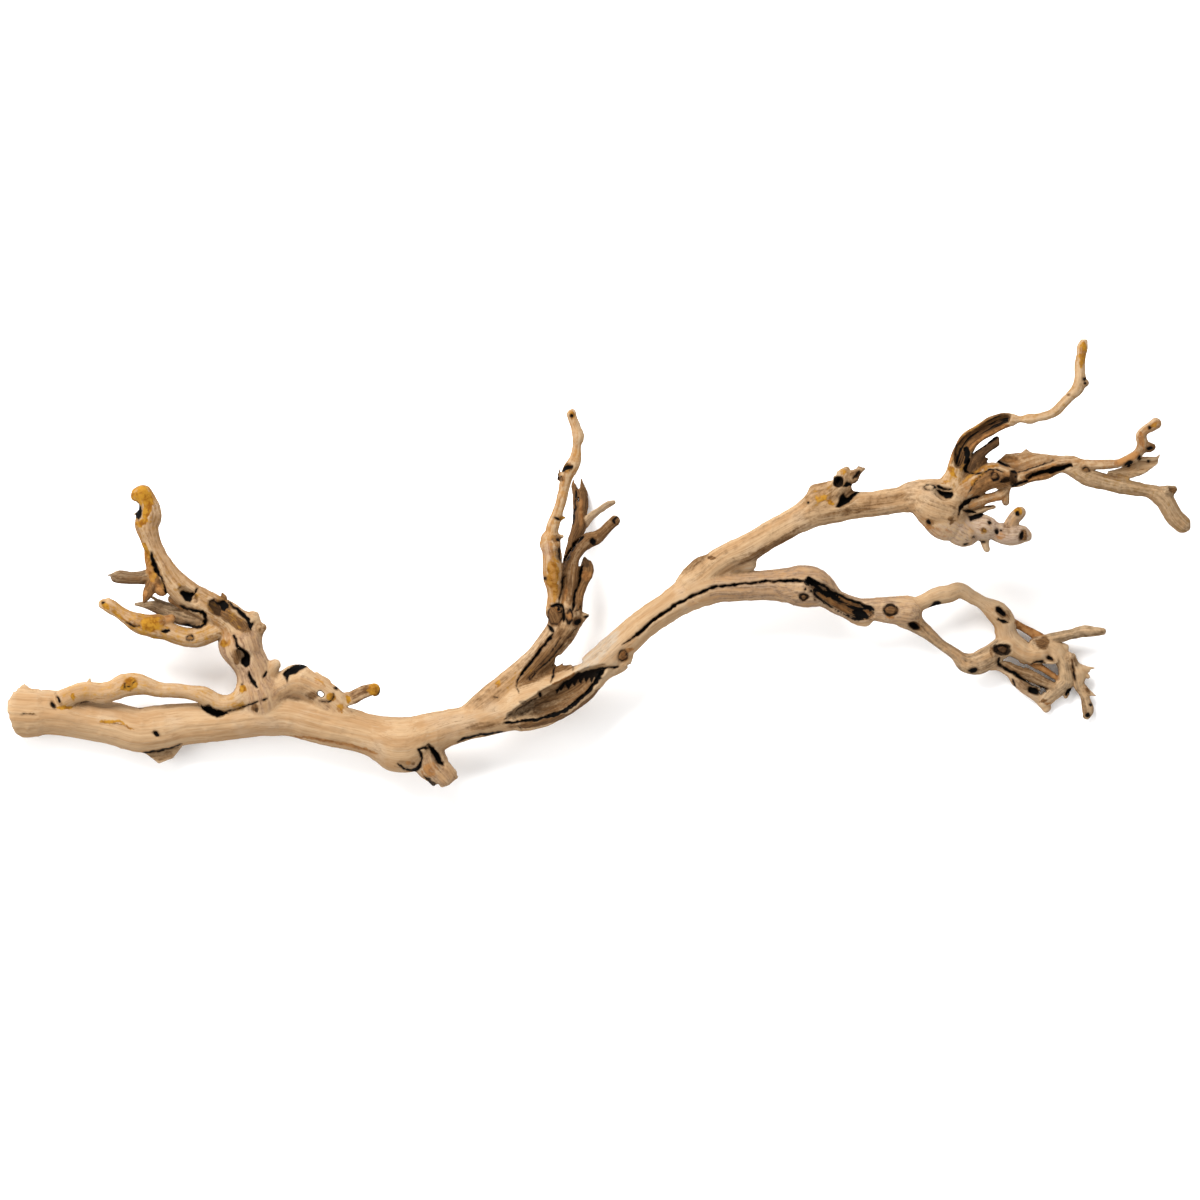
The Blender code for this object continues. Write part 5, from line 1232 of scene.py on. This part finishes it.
def near_ellipse(x, y, ellipse, margin):
    """The numbers of the points near an ellipse, and their shares: one on its rim, less inside it, and more
    outside it."""
    ex, ey, wide, high, turn = ellipse
    near = near_box(x, y, [(ex, ey)], margin)
    x, y = x[near] - ex, y[near] - ey
    angle = math.radians(turn)
    u = x * math.cos(angle) + y * math.sin(angle)
    v = y * math.cos(angle) - x * math.sin(angle)
    return near, np.hypot(u / wide, v / high)


def tapered(place, length, width):
    """Half a line's width, narrower towards both of its ends."""
    return width / 2 * np.clip(np.minimum(place, length - place) / TAPER_LENGTH + TAPER_END, 0, 1)


def wavered(x, y, reach):
    """The places shifted a little, so that an edge drawn through them is uneven."""
    across = flat_noise(x, y, WAVE_SIZE, 11) + RIPPLE_SHARE * flat_noise(x, y, RIPPLE_SIZE, 13)
    upward = flat_noise(x, y, WAVE_SIZE, 12) + RIPPLE_SHARE * flat_noise(x, y, RIPPLE_SIZE, 14)
    return x + reach * across, y + reach * upward


def dark_marks(x, y):
    """For each dark mark in turn: the points near it, their distance from its edge, its depth, and how
    evenly black it is."""
    x, y = wavered(x, y, MARK_WAVER)
    uneven = UNEVEN_SHARE * flat_noise(x, y, UNEVEN_SIZE, 15)
    for width, depth, line in CRACKS_AND_SHADOW_LINES:
        near = near_box(x, y, line, MARK_REACH)
        distance, place, length = line_distance(x[near], y[near], line)
        yield near, distance - tapered(place, length, width * (1 + uneven[near])), depth, 1.0
    for depth, solid, outline in PITS:
        near = near_box(x, y, outline, MARK_REACH)
        yield near, outline_distance(x[near], y[near], outline), depth, solid
    for *ellipse, depth in HOLES:
        near, share = near_ellipse(x, y, ellipse, MARK_REACH + max(ellipse[2:4]))
        yield near, (share - 1) * min(ellipse[2:4]), depth, 1.0
    for *ellipse, depth, _ in KNOTS:
        near, share = near_ellipse(x, y, ellipse, MARK_REACH + max(ellipse[2:4]))
        ring = KNOT_RING * depth * (0.8 + uneven[near])
        yield near, np.abs(share - 1) * min(ellipse[2:4]) - ring, depth, KNOT_BLACKNESS


def mark_edges(x, y):
    """How far each point lies from the nearest dark mark's edge, how deep the marks sink it, and how evenly
    black they are there."""
    edge = np.full(len(x), MARK_REACH)
    depth = np.zeros(len(x))
    solid = np.zeros(len(x))
    for near, distance, deep, even in dark_marks(x, y):
        edge[near] = np.minimum(edge[near], distance)
        raise_to(depth, near, deep * np.clip(MARK_RIM - distance / MARK_WALL, 0, 1))
        raise_to(solid, near, even * smooth_step(0.9, 0.1, distance))
    return edge, depth, solid


def tops_of(field):
    """Which columns hold wood, the number of the highest grid point inside it, and the wood's height."""
    inside = field < 0
    found = inside.any(axis=2)
    highest = field.shape[2] - 1 - np.argmax(inside[:, :, ::-1], axis=2)
    i, j = np.nonzero(found)
    k = highest[i, j]
    lower, upper = field[i, j, k], field[i, j, k + 1]
    top = np.full(found.shape, np.nan, np.float32)
    top[i, j] = AXES[2][k] + STEP * lower / (lower - upper)
    return found, highest, top


def sink_marks(field):
    """Sinks the cracks, pits, holes and knots into the side that the camera sees, at most half through the
    wood, and gives the height of that side before."""
    found, highest, top = tops_of(field)
    i, j = np.nonzero(found)
    depth = mark_edges(AXES[0][i].astype(float), AXES[1][j].astype(float))[1]
    sunk = depth > LEAST_DEPTH
    i, j, depth = i[sunk], j[sunk], depth[sunk]
    columns = field[i, j]
    below = np.arange(field.shape[2])[None, :] <= highest[i, j][:, None]
    outside = (columns >= 0) & below
    last_gap = field.shape[2] - 1 - np.argmax(outside[:, ::-1], axis=1)
    thick = (highest[i, j] - last_gap) * STEP
    floor = top[i, j] - np.minimum(depth, MOST_DEPTH_SHARE * thick)
    field[i, j] = np.maximum(columns, AXES[2][None, :] - floor[:, None])
    return top


def add_sheets(field):
    """Joins the torn sheets to the wood."""
    for height, thickness, outline in SHEETS.values():
        room = thickness / 2 + BAND
        where, x, y = columns_over(outline, BAND, height - room, height + room)
        flat = outline_distance(x, y, outline).reshape(field[where].shape[:2])
        upright = np.abs(window_axes(where)[2] - height) - thickness / 2
        grow(field, where, np.maximum(flat[:, :, None], upright).astype(np.float32), SHEET_BLEND)


def cut_ends(field):
    """Takes off what the outlines of the torn ends cover."""
    for outline in CUTS:
        where, x, y = columns_over(outline, CUT_MARGIN)
        wear_through(field, where, outline_distance(x, y, outline), CUT_BLEND)


def cut_slits(field):
    """Opens the slits between the strands."""
    for width, line in SLITS:
        where, x, y = columns_over(line, SLIT_MARGIN)
        distance = line_distance(*wavered(x, y, SLIT_WAVER), line)[0]
        wear_through(field, where, distance - width / 2, SLIT_BLEND)


def wood_field():
    """The distance field of the whole branch, and the height of its upper side."""
    field = np.full([len(axis) for axis in AXES], 2 * BAND, np.float32)
    blends = {name: blend for blend, names in BLENDS.items() for name in names}
    for name, path in PATHS.items():
        where, limb = limb_field(path)
        if name == "trunk":
            x, y, z = window_axes(where)
            limb = np.maximum(limb, BUTT_FACE - x + BUTT_TURN * (y + 113) - BUTT_TILT * (z - 18))
        grow(field, where, limb, blends.get(name, FINE_BLEND if name in FINE_LIMBS else LIMB_BLEND))
    add_sheets(field)
    for stations in HOLLOWS.values():
        where, hollow = limb_field(path_of(stations))
        wear(field, where, hollow, HOLLOW_BLEND)
    cut_ends(field)
    cut_slits(field)
    top = sink_marks(field)
    np.maximum(field, -AXES[2][None, None, :], out=field)
    return field, top


def skin_of(field):
    """A closed mesh over the field's zero level: one point in each cell that it crosses, and one quad
    for each grid edge."""
    inside = (field < 0).view(np.uint8)
    count = inside[:-1] + inside[1:]
    count = count[:, :-1] + count[:, 1:]
    count = count[:, :, :-1] + count[:, :, 1:]
    cells = np.argwhere((count > 0) & (count < 8))
    del count
    corners = [field[tuple((cells + corner).T)] for corner in CUBE]
    total = np.zeros((len(cells), 3))
    crossings = np.zeros(len(cells))
    for a, b in CUBE_EDGES:
        crossed = (corners[a] < 0) != (corners[b] < 0)
        share = np.where(crossed, corners[a] / np.where(crossed, corners[a] - corners[b], 1), 0)
        total += crossed[:, None] * (CUBE[a] + share[:, None] * (CUBE[b] - CUBE[a]))
        crossings += crossed
    points = GRID_LOW + STEP * (cells + total / crossings[:, None])
    shape = np.array(inside.shape)
    strides = np.array([shape[1] * shape[2], shape[2], 1])
    numbers = cells @ strides
    quads = []
    for axis in range(3):
        ahead = np.zeros(3, int)
        ahead[axis] = 1
        first = inside[tuple(cells.T)]
        second = inside[tuple((cells + ahead).T)]
        b, c = (axis + 1) % 3, (axis + 2) % 3
        crossed = (first != second) & (cells[:, b] > 0) & (cells[:, c] > 0)
        base = numbers[crossed]
        ring = np.stack([base, base - strides[b], base - strides[b] - strides[c], base - strides[c]], axis=1)
        ring = np.searchsorted(numbers, ring)
        outward = first[crossed] == 1
        quads.append(np.where(outward[:, None], ring, ring[:, ::-1]))
    return points, np.concatenate(quads)


def normals_of(points, quads):
    """The direction that the skin faces at each of its points."""
    across = points[quads[:, 2]] - points[quads[:, 0]]
    other = points[quads[:, 3]] - points[quads[:, 1]]
    facing = np.cross(across, other)
    normals = np.zeros_like(points)
    for corner in range(4):
        for axis in range(3):
            normals[:, axis] += np.bincount(quads[:, corner], facing[:, axis], len(points))
    return normals / np.maximum(np.linalg.norm(normals, axis=1), 1e-9)[:, None]


def nearest_segment(path, points):
    """For each point: its distance from a limb's surface, the segment of the path that it is nearest to, and
    the share of that segment passed there."""
    distance = np.full(len(points), FAR)
    segment = np.zeros(len(points), int)
    part = np.zeros(len(points))
    for i, (start, end) in enumerate(zip(path[:-1], path[1:])):
        along = end[:3] - start[:3]
        t = np.clip((points - start[:3]) @ along / np.dot(along, along), 0, 1)
        away = np.linalg.norm(points - start[:3] - t[:, None] * along, axis=1)
        away = away - start[3] - t * (end[3] - start[3])
        closer = away < distance
        distance = np.where(closer, away, distance)
        segment = np.where(closer, i, segment)
        part = np.where(closer, t, part)
    return distance, segment, part


def limb_places(points):
    """For each point: its place along and across its nearest limb, how far the next limb is, and the
    weights of the limbs' colours."""
    nearest = np.full(len(points), FAR)
    second = np.full(len(points), FAR)
    grain = np.zeros((len(points), 3))
    tones = {tone: np.zeros(len(points)) for tone in TONES}
    shares = np.zeros(len(points))
    for number, (name, path) in enumerate(PATHS.items()):
        room = path[:, 3].max() + BAND
        low, high = path[:, :3].min(axis=0) - room, path[:, :3].max(axis=0) + room
        near = np.nonzero(((points > low) & (points < high)).all(axis=1))[0]
        if not len(near):
            continue
        distance, segment, part = nearest_segment(path, points[near])
        first, other = frames_of(path)
        steps = np.linalg.norm(np.diff(path[:, :3], axis=0), axis=1)
        passed = np.concatenate([[0], np.cumsum(steps)])
        middle = path[segment, :3] + part[:, None] * (path[segment + 1, :3] - path[segment, :3])
        across = points[near] - middle
        place = np.stack([
            passed[segment] + part * steps[segment] + GRAIN_SHIFT_ALONG * number,
            (across * first[segment]).sum(axis=1) + GRAIN_SHIFT_ACROSS * number,
            (across * other[segment]).sum(axis=1),
        ], axis=1)
        closer = distance < nearest[near]
        second[near] = np.where(closer, nearest[near], np.minimum(second[near], distance))
        grain[near[closer]] = place[closer]
        nearest[near] = np.minimum(nearest[near], distance)
        share = np.exp(-np.maximum(distance, -1) / TONE_REACH)
        shares[near] += share
        for tone, weight in LIMB_COLOURS.get(name, {}).items():
            tones[tone][near] += weight * share
    for tone in tones:
        tones[tone] /= np.maximum(shares, 1e-9)
    return grain, second - nearest, tones


def weathered(points, normals):
    """The skin's points moved in and out by the grain, its grooves and the limbs' unevenness."""
    grain, gap, _ = limb_places(points)
    fine = smooth_step(0.3, 2.5, gap)
    fluted = smooth_step(0.05, 0.4, noise(points / 55, 7))
    flutes = FLUTE_DEPTH * fluted * (1 - smooth_step(0, 0.22, np.abs(noise(grain / (80, 7, 7), 1))))
    ridges = noise(grain / (26, 1.9, 1.9), 2)
    strips = noise(grain / (45, 3.6, 3.6), 3)
    lumps = noise(points / 11, 4) + 0.5 * noise(points / 5, 5)
    creases = 0.25 - np.abs(noise(points / 8, 6))
    relief = RIDGE_DEPTH * ridges + STRIP_DEPTH * strips - flutes
    push = fine * relief + LUMP_DEPTH * lumps + CREASE_DEPTH * creases
    return points + normals * push[:, None]


def mesh_object(name, points, faces):
    """A mesh with its object, from points in millimetres."""
    mesh = bpy.data.meshes.new(name)
    mesh.from_pydata((points * MM).tolist(), [], faces.tolist())
    mesh.update()
    obj = bpy.data.objects.new(name, mesh)
    bpy.context.scene.collection.objects.link(obj)
    return obj


def vectors_of(mesh, what):
    """A vector of each of the mesh's vertices, such as its place or its normal."""
    values = np.empty(len(mesh.vertices) * 3, np.float32)
    mesh.vertices.foreach_get(what, values)
    return values.reshape(-1, 3).astype(float)


def thin_out(obj, triangles, seen):
    """Fewer triangles, kept where the wood is uneven and on the side that the camera sees."""
    group = obj.vertex_groups.new(name="may go")
    for level in range(11):
        members = np.nonzero(np.round(10 * seen) == level)[0]
        group.add(members.tolist(), 1 - KEPT_WEIGHT * level, "REPLACE")
    obj.modifiers.new("Triangles", "TRIANGULATE")
    fewer = obj.modifiers.new("Thin out", "DECIMATE")
    fewer.vertex_group = group.name
    fewer.vertex_group_factor = 1.0
    fewer.ratio = min(1, triangles / (2 * len(obj.data.polygons)))
    graph = bpy.context.evaluated_depsgraph_get()
    mesh = bpy.data.meshes.new_from_object(obj.evaluated_get(graph))
    obj.modifiers.clear()
    old = obj.data
    obj.data = mesh
    bpy.data.meshes.remove(old)


def painted(x, y, seen, tones):
    """Adds the strokes, the stains and patches of painted shade, and the knots that the camera sees to the
    weights of the colours.
    """
    x, y = wavered(x, y, PAINT_WAVER)
    for tone, strokes in STROKES.items():
        for width, strength, line in strokes:
            near = near_box(x, y, line, width / 2 + 2)
            distance, place, length = line_distance(x[near], y[near], line)
            edge = distance - tapered(place, length, width)
            raise_to(tones[tone], near, seen[near] * strength * smooth_step(0.9, -0.7, edge))
    for tone, spots in STAINS_AND_SHADE.items():
        for *ellipse, strength in spots:
            near, share = near_ellipse(x, y, ellipse, SPOT_REACH * max(ellipse[2:4]))
            raise_to(tones[tone], near, seen[near] * strength * smooth_step(1.3, 0.6, share))
    for *ellipse, _, tone in KNOTS:
        if tone != PLAIN:
            near, share = near_ellipse(x, y, ellipse, SPOT_REACH * max(ellipse[2:4]))
            raise_to(tones[tone], near, seen[near] * KNOT_PAINT * smooth_step(1.25, 0.8, share))


def seen_share(points, normals, top):
    """One on the upper side that the camera sees, and zero on what lies under it."""
    i = np.clip(np.round((points[:, 0] - GRID_LOW[0]) / STEP).astype(int), 0, top.shape[0] - 1)
    j = np.clip(np.round((points[:, 1] - GRID_LOW[1]) / STEP).astype(int), 0, top.shape[1] - 1)
    under = np.nan_to_num(top[i, j], nan=0.0) - points[:, 2]
    return smooth_step(HIDDEN_DEPTH, SEEN_DEPTH, under) * smooth_step(-0.3, 0.05, normals[:, 2])


def sunken(mesh, points, normals):
    """How far each point lies below the points round it, smoothed over a few rounds."""
    edges = np.empty(len(mesh.edges) * 2, np.int32)
    mesh.edges.foreach_get("vertices", edges)
    ends = edges.reshape(-1, 2)
    count = np.bincount(edges, minlength=len(points))[:, None]
    level = points.copy()
    for _ in range(SMOOTHING_ROUNDS):
        around = np.zeros_like(level)
        for axis in range(3):
            around[:, axis] += np.bincount(ends[:, 0], level[ends[:, 1], axis], len(points))
            around[:, axis] += np.bincount(ends[:, 1], level[ends[:, 0], axis], len(points))
        level = 0.5 * level + 0.5 * around / count
    return ((level - points) * normals).sum(axis=1)


def add_attributes(mesh, top):
    """Writes what the material reads at each point of the mesh."""
    points = vectors_of(mesh, "co") / MM
    normals = vectors_of(mesh, "normal")
    grain, gap, tones = limb_places(points)
    seen = seen_share(points, normals, top)
    edge, _, solid = mark_edges(points[:, 0], points[:, 1])
    painted(points[:, 0], points[:, 1], seen, tones)
    # Painted shade: the steep flanks are darkened as if in shade. This is added to how sunken each point is,
    # which paints shade in the hollows and a highlight on raised parts
    flank = smooth_step(0.6, 0.1, normals[:, 2]) * smooth_step(-0.9, -0.2, normals[:, 2])
    values = {
        "fine": smooth_step(0.2, 2.2, gap),
        "mark_edge": edge * seen + MARK_REACH * (1 - seen),
        "mark_solid": solid,
        "sunken": sunken(mesh, points, normals) + FLANK_SHADE * flank,
    }
    values.update({"tone_" + tone: weights for tone, weights in tones.items()})
    for name, rows in values.items():
        mesh.attributes.new(name, "FLOAT", "POINT").data.foreach_set("value", rows.astype(np.float32))
    vectors = mesh.attributes.new("grain", "FLOAT_VECTOR", "POINT")
    vectors.data.foreach_set("vector", grain.astype(np.float32).ravel())


def add_node(tree, kind, inputs=None, **settings):
    """A node with its settings, and its sockets set or linked."""
    node = tree.nodes.new(kind)
    for name, value in settings.items():
        setattr(node, name, value)
    for socket, value in (inputs or {}).items():
        if isinstance(value, bpy.types.NodeSocket):
            tree.links.new(value, node.inputs[socket])
        else:
            node.inputs[socket].default_value = value
    return node


def attribute(tree, name, output="Fac"):
    return add_node(tree, "ShaderNodeAttribute", attribute_name=name).outputs[output]


def math_of(tree, operation, *values):
    return add_node(tree, "ShaderNodeMath", dict(enumerate(values)), operation=operation).outputs[0]


def ramp(tree, value, low, high, to_low=0.0, to_high=1.0):
    """A value carried smoothly from one range to another."""
    inputs = {"Value": value, "From Min": low, "From Max": high, "To Min": to_low, "To Max": to_high}
    return add_node(tree, "ShaderNodeMapRange", inputs, interpolation_type="SMOOTHSTEP").outputs["Result"]


def roughened(tree, value, texture, amount):
    """A value made uneven by a texture that is a half on average."""
    return math_of(tree, "MULTIPLY_ADD", math_of(tree, "SUBTRACT", texture, 0.5), amount, value)


def streaks(tree, places, along, across, detail):
    """Noise with so many changes to a unit of length along the first axis and across it."""
    shape = (along, across, across)
    stretched = add_node(tree, "ShaderNodeVectorMath", {0: places, 1: shape}, operation="MULTIPLY")
    inputs = {"Vector": stretched.outputs[0], "Scale": 1.0, "Detail": detail, "Roughness": 0.6}
    return add_node(tree, "ShaderNodeTexNoise", inputs).outputs["Fac"]


def mixed(tree, share, under, over):
    """One colour over another by a share."""
    inputs = {"Factor": share, 6: under, 7: over}
    return add_node(tree, "ShaderNodeMix", inputs, data_type="RGBA").outputs[2]


def linear(red, green, blue):
    """A colour as the photo shows it, 0 to 255, made the share of the studio's light that gives it."""
    return tuple(LIT_SHARE * ((c / 255 + 0.055) / 1.055) ** 2.4 for c in (red, green, blue)) + (1.0,)


def toned(tree, colour, paints, tone, textures):
    """One tone laid over the wood by its weight, with uneven edges and two shades of its own."""
    blotchy = tone in BLOTCHY_TONES
    weight = attribute(tree, "tone_" + tone)
    rough = roughened(tree, weight, textures["fibre"], 0.9)
    rough = roughened(tree, rough, textures["speck"], 0.35)
    rough = roughened(tree, rough, textures["blotch"], 0.9 if blotchy else 0.5)
    share = math_of(tree, "MULTIPLY", ramp(tree, rough, 0.12, 0.72), ramp(tree, weight, 0.0, 0.12))
    lights = textures["blotch" if blotchy else "hair"]
    paint = mixed(tree, ramp(tree, lights, 0.35, 0.62), paints[tone + "_low"], paints[tone])
    return mixed(tree, share, colour, paint)


def blackened(tree, colour, paints, textures):
    """The dark marks laid over the wood, as painted shade: a brown rim of painted shade, and black painted
    shade where a mark is even or off the fibres.
    """
    ragged = roughened(tree, attribute(tree, "mark_edge"), textures["fibre"], 1.5)
    ragged = roughened(tree, ragged, textures["speck"], 0.8)
    # Painted shade: each mark gets a brown rim, from a little outside its edge inwards
    colour = mixed(tree, ramp(tree, ragged, 1.4, 0.0, 0, 0.5), colour, paints["brown_low"])
    lifted = ramp(tree, attribute(tree, "mark_solid"), 0.9, 0.2)
    lifted = math_of(tree, "MULTIPLY", lifted, ramp(tree, textures["fibre"], 0.38, 0.5))
    blackness = math_of(tree, "SUBTRACT", ramp(tree, ragged, 0.45, -0.35), lifted)
    share = add_node(tree, "ShaderNodeClamp", {"Value": blackness}).outputs[0]
    return mixed(tree, share, colour, paints["black"])


def wood_material():
    """The wood: plain tan, painted highlight on raised parts, tones over it with their patches of painted
    shade, dark hairs, fissures, painted shade in the hollows and on the flanks, and black marks of painted
    shade.
    """
    material = bpy.data.materials.new("grapevine_wood")
    material.use_nodes = True
    tree = material.node_tree
    shader = tree.nodes["Principled BSDF"]
    paints = {name: linear(*values) for name, values in COLOURS.items()}
    grain = attribute(tree, "grain", "Vector")
    fine_share = attribute(tree, "fine")
    position = add_node(tree, "ShaderNodeNewGeometry").outputs["Position"]
    places = {"grain": grain, "metres": position}
    textures = {name: streaks(tree, places[of], *shape) for name, (of, *shape) in TEXTURES.items()}
    hair, fibre, patch = textures["hair"], textures["fibre"], textures["patch"]

    colour = mixed(tree, ramp(tree, textures["band"], 0.36, 0.62), paints["tan_low"], paints["tan"])
    colour = mixed(tree, ramp(tree, patch, 0.52, 0.72, 0, 0.5), colour, paints["tan_high"])
    pale_hair = math_of(tree, "MULTIPLY", ramp(tree, fibre, 0.54, 0.74, 0, 0.3), fine_share)
    colour = mixed(tree, pale_hair, colour, paints["pale_hair_and_highlight"])
    sunk = attribute(tree, "sunken")
    # Painted highlight: raised parts, above the points round them, are made paler
    colour = mixed(tree, ramp(tree, sunk, -0.1, -0.7, 0, 0.3), colour, paints["pale_hair_and_highlight"])
    for tone in TONES:
        colour = toned(tree, colour, paints, tone, textures)
    dark_hair = math_of(tree, "MULTIPLY", ramp(tree, hair, 0.54, 0.3, 0, 0.28), fine_share)
    colour = mixed(tree, dark_hair, colour, paints["hair_dark"])
    fissure = math_of(tree, "ABSOLUTE", math_of(tree, "SUBTRACT", fibre, 0.5))
    somewhere = math_of(tree, "MULTIPLY", ramp(tree, patch, 0.58, 0.72, 0.0, 0.4), fine_share)
    fissure = math_of(tree, "MULTIPLY", ramp(tree, fissure, 0.02, 0.004), somewhere)
    colour = mixed(tree, fissure, colour, paints["crack"])
    # Painted shade: hollows and steep flanks take the shade colour
    colour = mixed(tree, ramp(tree, sunk, 0.12, 0.9, 0, 0.7), colour, paints["shade"])
    colour = blackened(tree, colour, paints, textures)

    tree.links.new(colour, shader.inputs["Base Color"])
    shader.inputs["Roughness"].default_value = 0.82
    shader.inputs["Specular IOR Level"].default_value = 0.06
    height = math_of(tree, "MULTIPLY_ADD", hair, 0.35, math_of(tree, "MULTIPLY", fibre, 0.8))
    height = math_of(tree, "MULTIPLY", height, fine_share)
    height = math_of(tree, "MULTIPLY_ADD", fissure, -0.5, height)
    bump = add_node(tree, "ShaderNodeBump", {"Height": height, "Strength": 0.45, "Distance": BUMP_DEPTH})
    tree.links.new(bump.outputs["Normal"], shader.inputs["Normal"])
    return material


def add_branch():
    """The branch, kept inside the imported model's box, with its material and its place in the frame."""
    field, top = wood_field()
    points, quads = skin_of(field)
    del field
    normals = normals_of(points, quads)
    seen = seen_share(points, normals, top)
    low = np.array(cad_box[0]) / MM + BOX_INSET
    high = np.array(cad_box[1]) / MM - BOX_INSET
    points = np.clip(weathered(points, normals), low, high)
    branch = mesh_object("branch_wood", points, quads)
    thin_out(branch, TRIANGLES, seen)
    branch.vertex_groups.clear()
    points = np.clip(vectors_of(branch.data, "co") / MM, low, high) * MM
    branch.data.vertices.foreach_set("co", points.astype(np.float32).ravel())
    branch.data.update()
    add_attributes(branch.data, top)
    branch.data.shade_smooth()
    branch.data.materials.clear()
    branch.data.materials.append(wood_material())
    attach(branch, "root")
    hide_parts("branch")


def add_floor():
    """A plain pale floor, a little below the wood."""
    reach = FLOOR_REACH / MM
    corners = np.array([(-reach, -reach, 0), (reach, -reach, 0), (reach, reach, 0), (-reach, reach, 0)])
    floor = mesh_object("floor", corners, np.array([(0, 1, 2, 3)]))
    floor.location.z = -FLOOR_DROP
    material = bpy.data.materials.new("pale_floor")
    material.use_nodes = True
    shader = material.node_tree.nodes["Principled BSDF"]
    shader.inputs["Base Color"].default_value = (0.97, 0.97, 0.97, 1)
    shader.inputs["Roughness"].default_value = 0.9
    shader.inputs["Specular IOR Level"].default_value = 0.1
    floor.data.materials.append(material)


def add_lights():
    """Round lamps that point at the frame's middle, and an even white sky."""
    for name, (place, size, power) in LIGHTS.items():
        data = bpy.data.lights.new(name, "AREA")
        data.shape = "DISK"
        data.size = size
        data.energy = power
        light = bpy.data.objects.new(name, data)
        light.location = place
        light.rotation_euler = (-Vector(place)).to_track_quat("-Z", "Y").to_euler()
        bpy.context.scene.collection.objects.link(light)
    world = bpy.data.worlds.new("studio")
    world.use_nodes = True
    backdrop = world.node_tree.nodes["Background"]
    backdrop.inputs["Color"].default_value = (1, 1, 1, 1)
    backdrop.inputs["Strength"].default_value = SKY_STRENGTH
    bpy.context.scene.world = world
    bpy.context.scene.view_settings.view_transform = "Standard"


def add_camera():
    """A far camera straight above, which holds the photo's width."""
    data = bpy.data.cameras.new("camera")
    data.lens = CAMERA_LENS
    data.sensor_width = CAMERA_SENSOR
    data.clip_end = 40
    camera = bpy.data.objects.new("camera", data)
    distance = PHOTO_WIDTH / 2 * data.lens / (data.sensor_width / 2) * MM
    camera.location = (PHOTO_MIDDLE[0] * MM, PHOTO_MIDDLE[1] * MM, PHOTO_LEVEL + distance)
    bpy.context.scene.collection.objects.link(camera)
    bpy.context.scene.camera = camera


GRID_LOW, AXES = grid_of()
PATHS = {name: path_of(stations) for name, stations in {**LIMBS, **FINE_LIMBS}.items()}

add_branch()
add_floor()
add_lights()
add_camera()
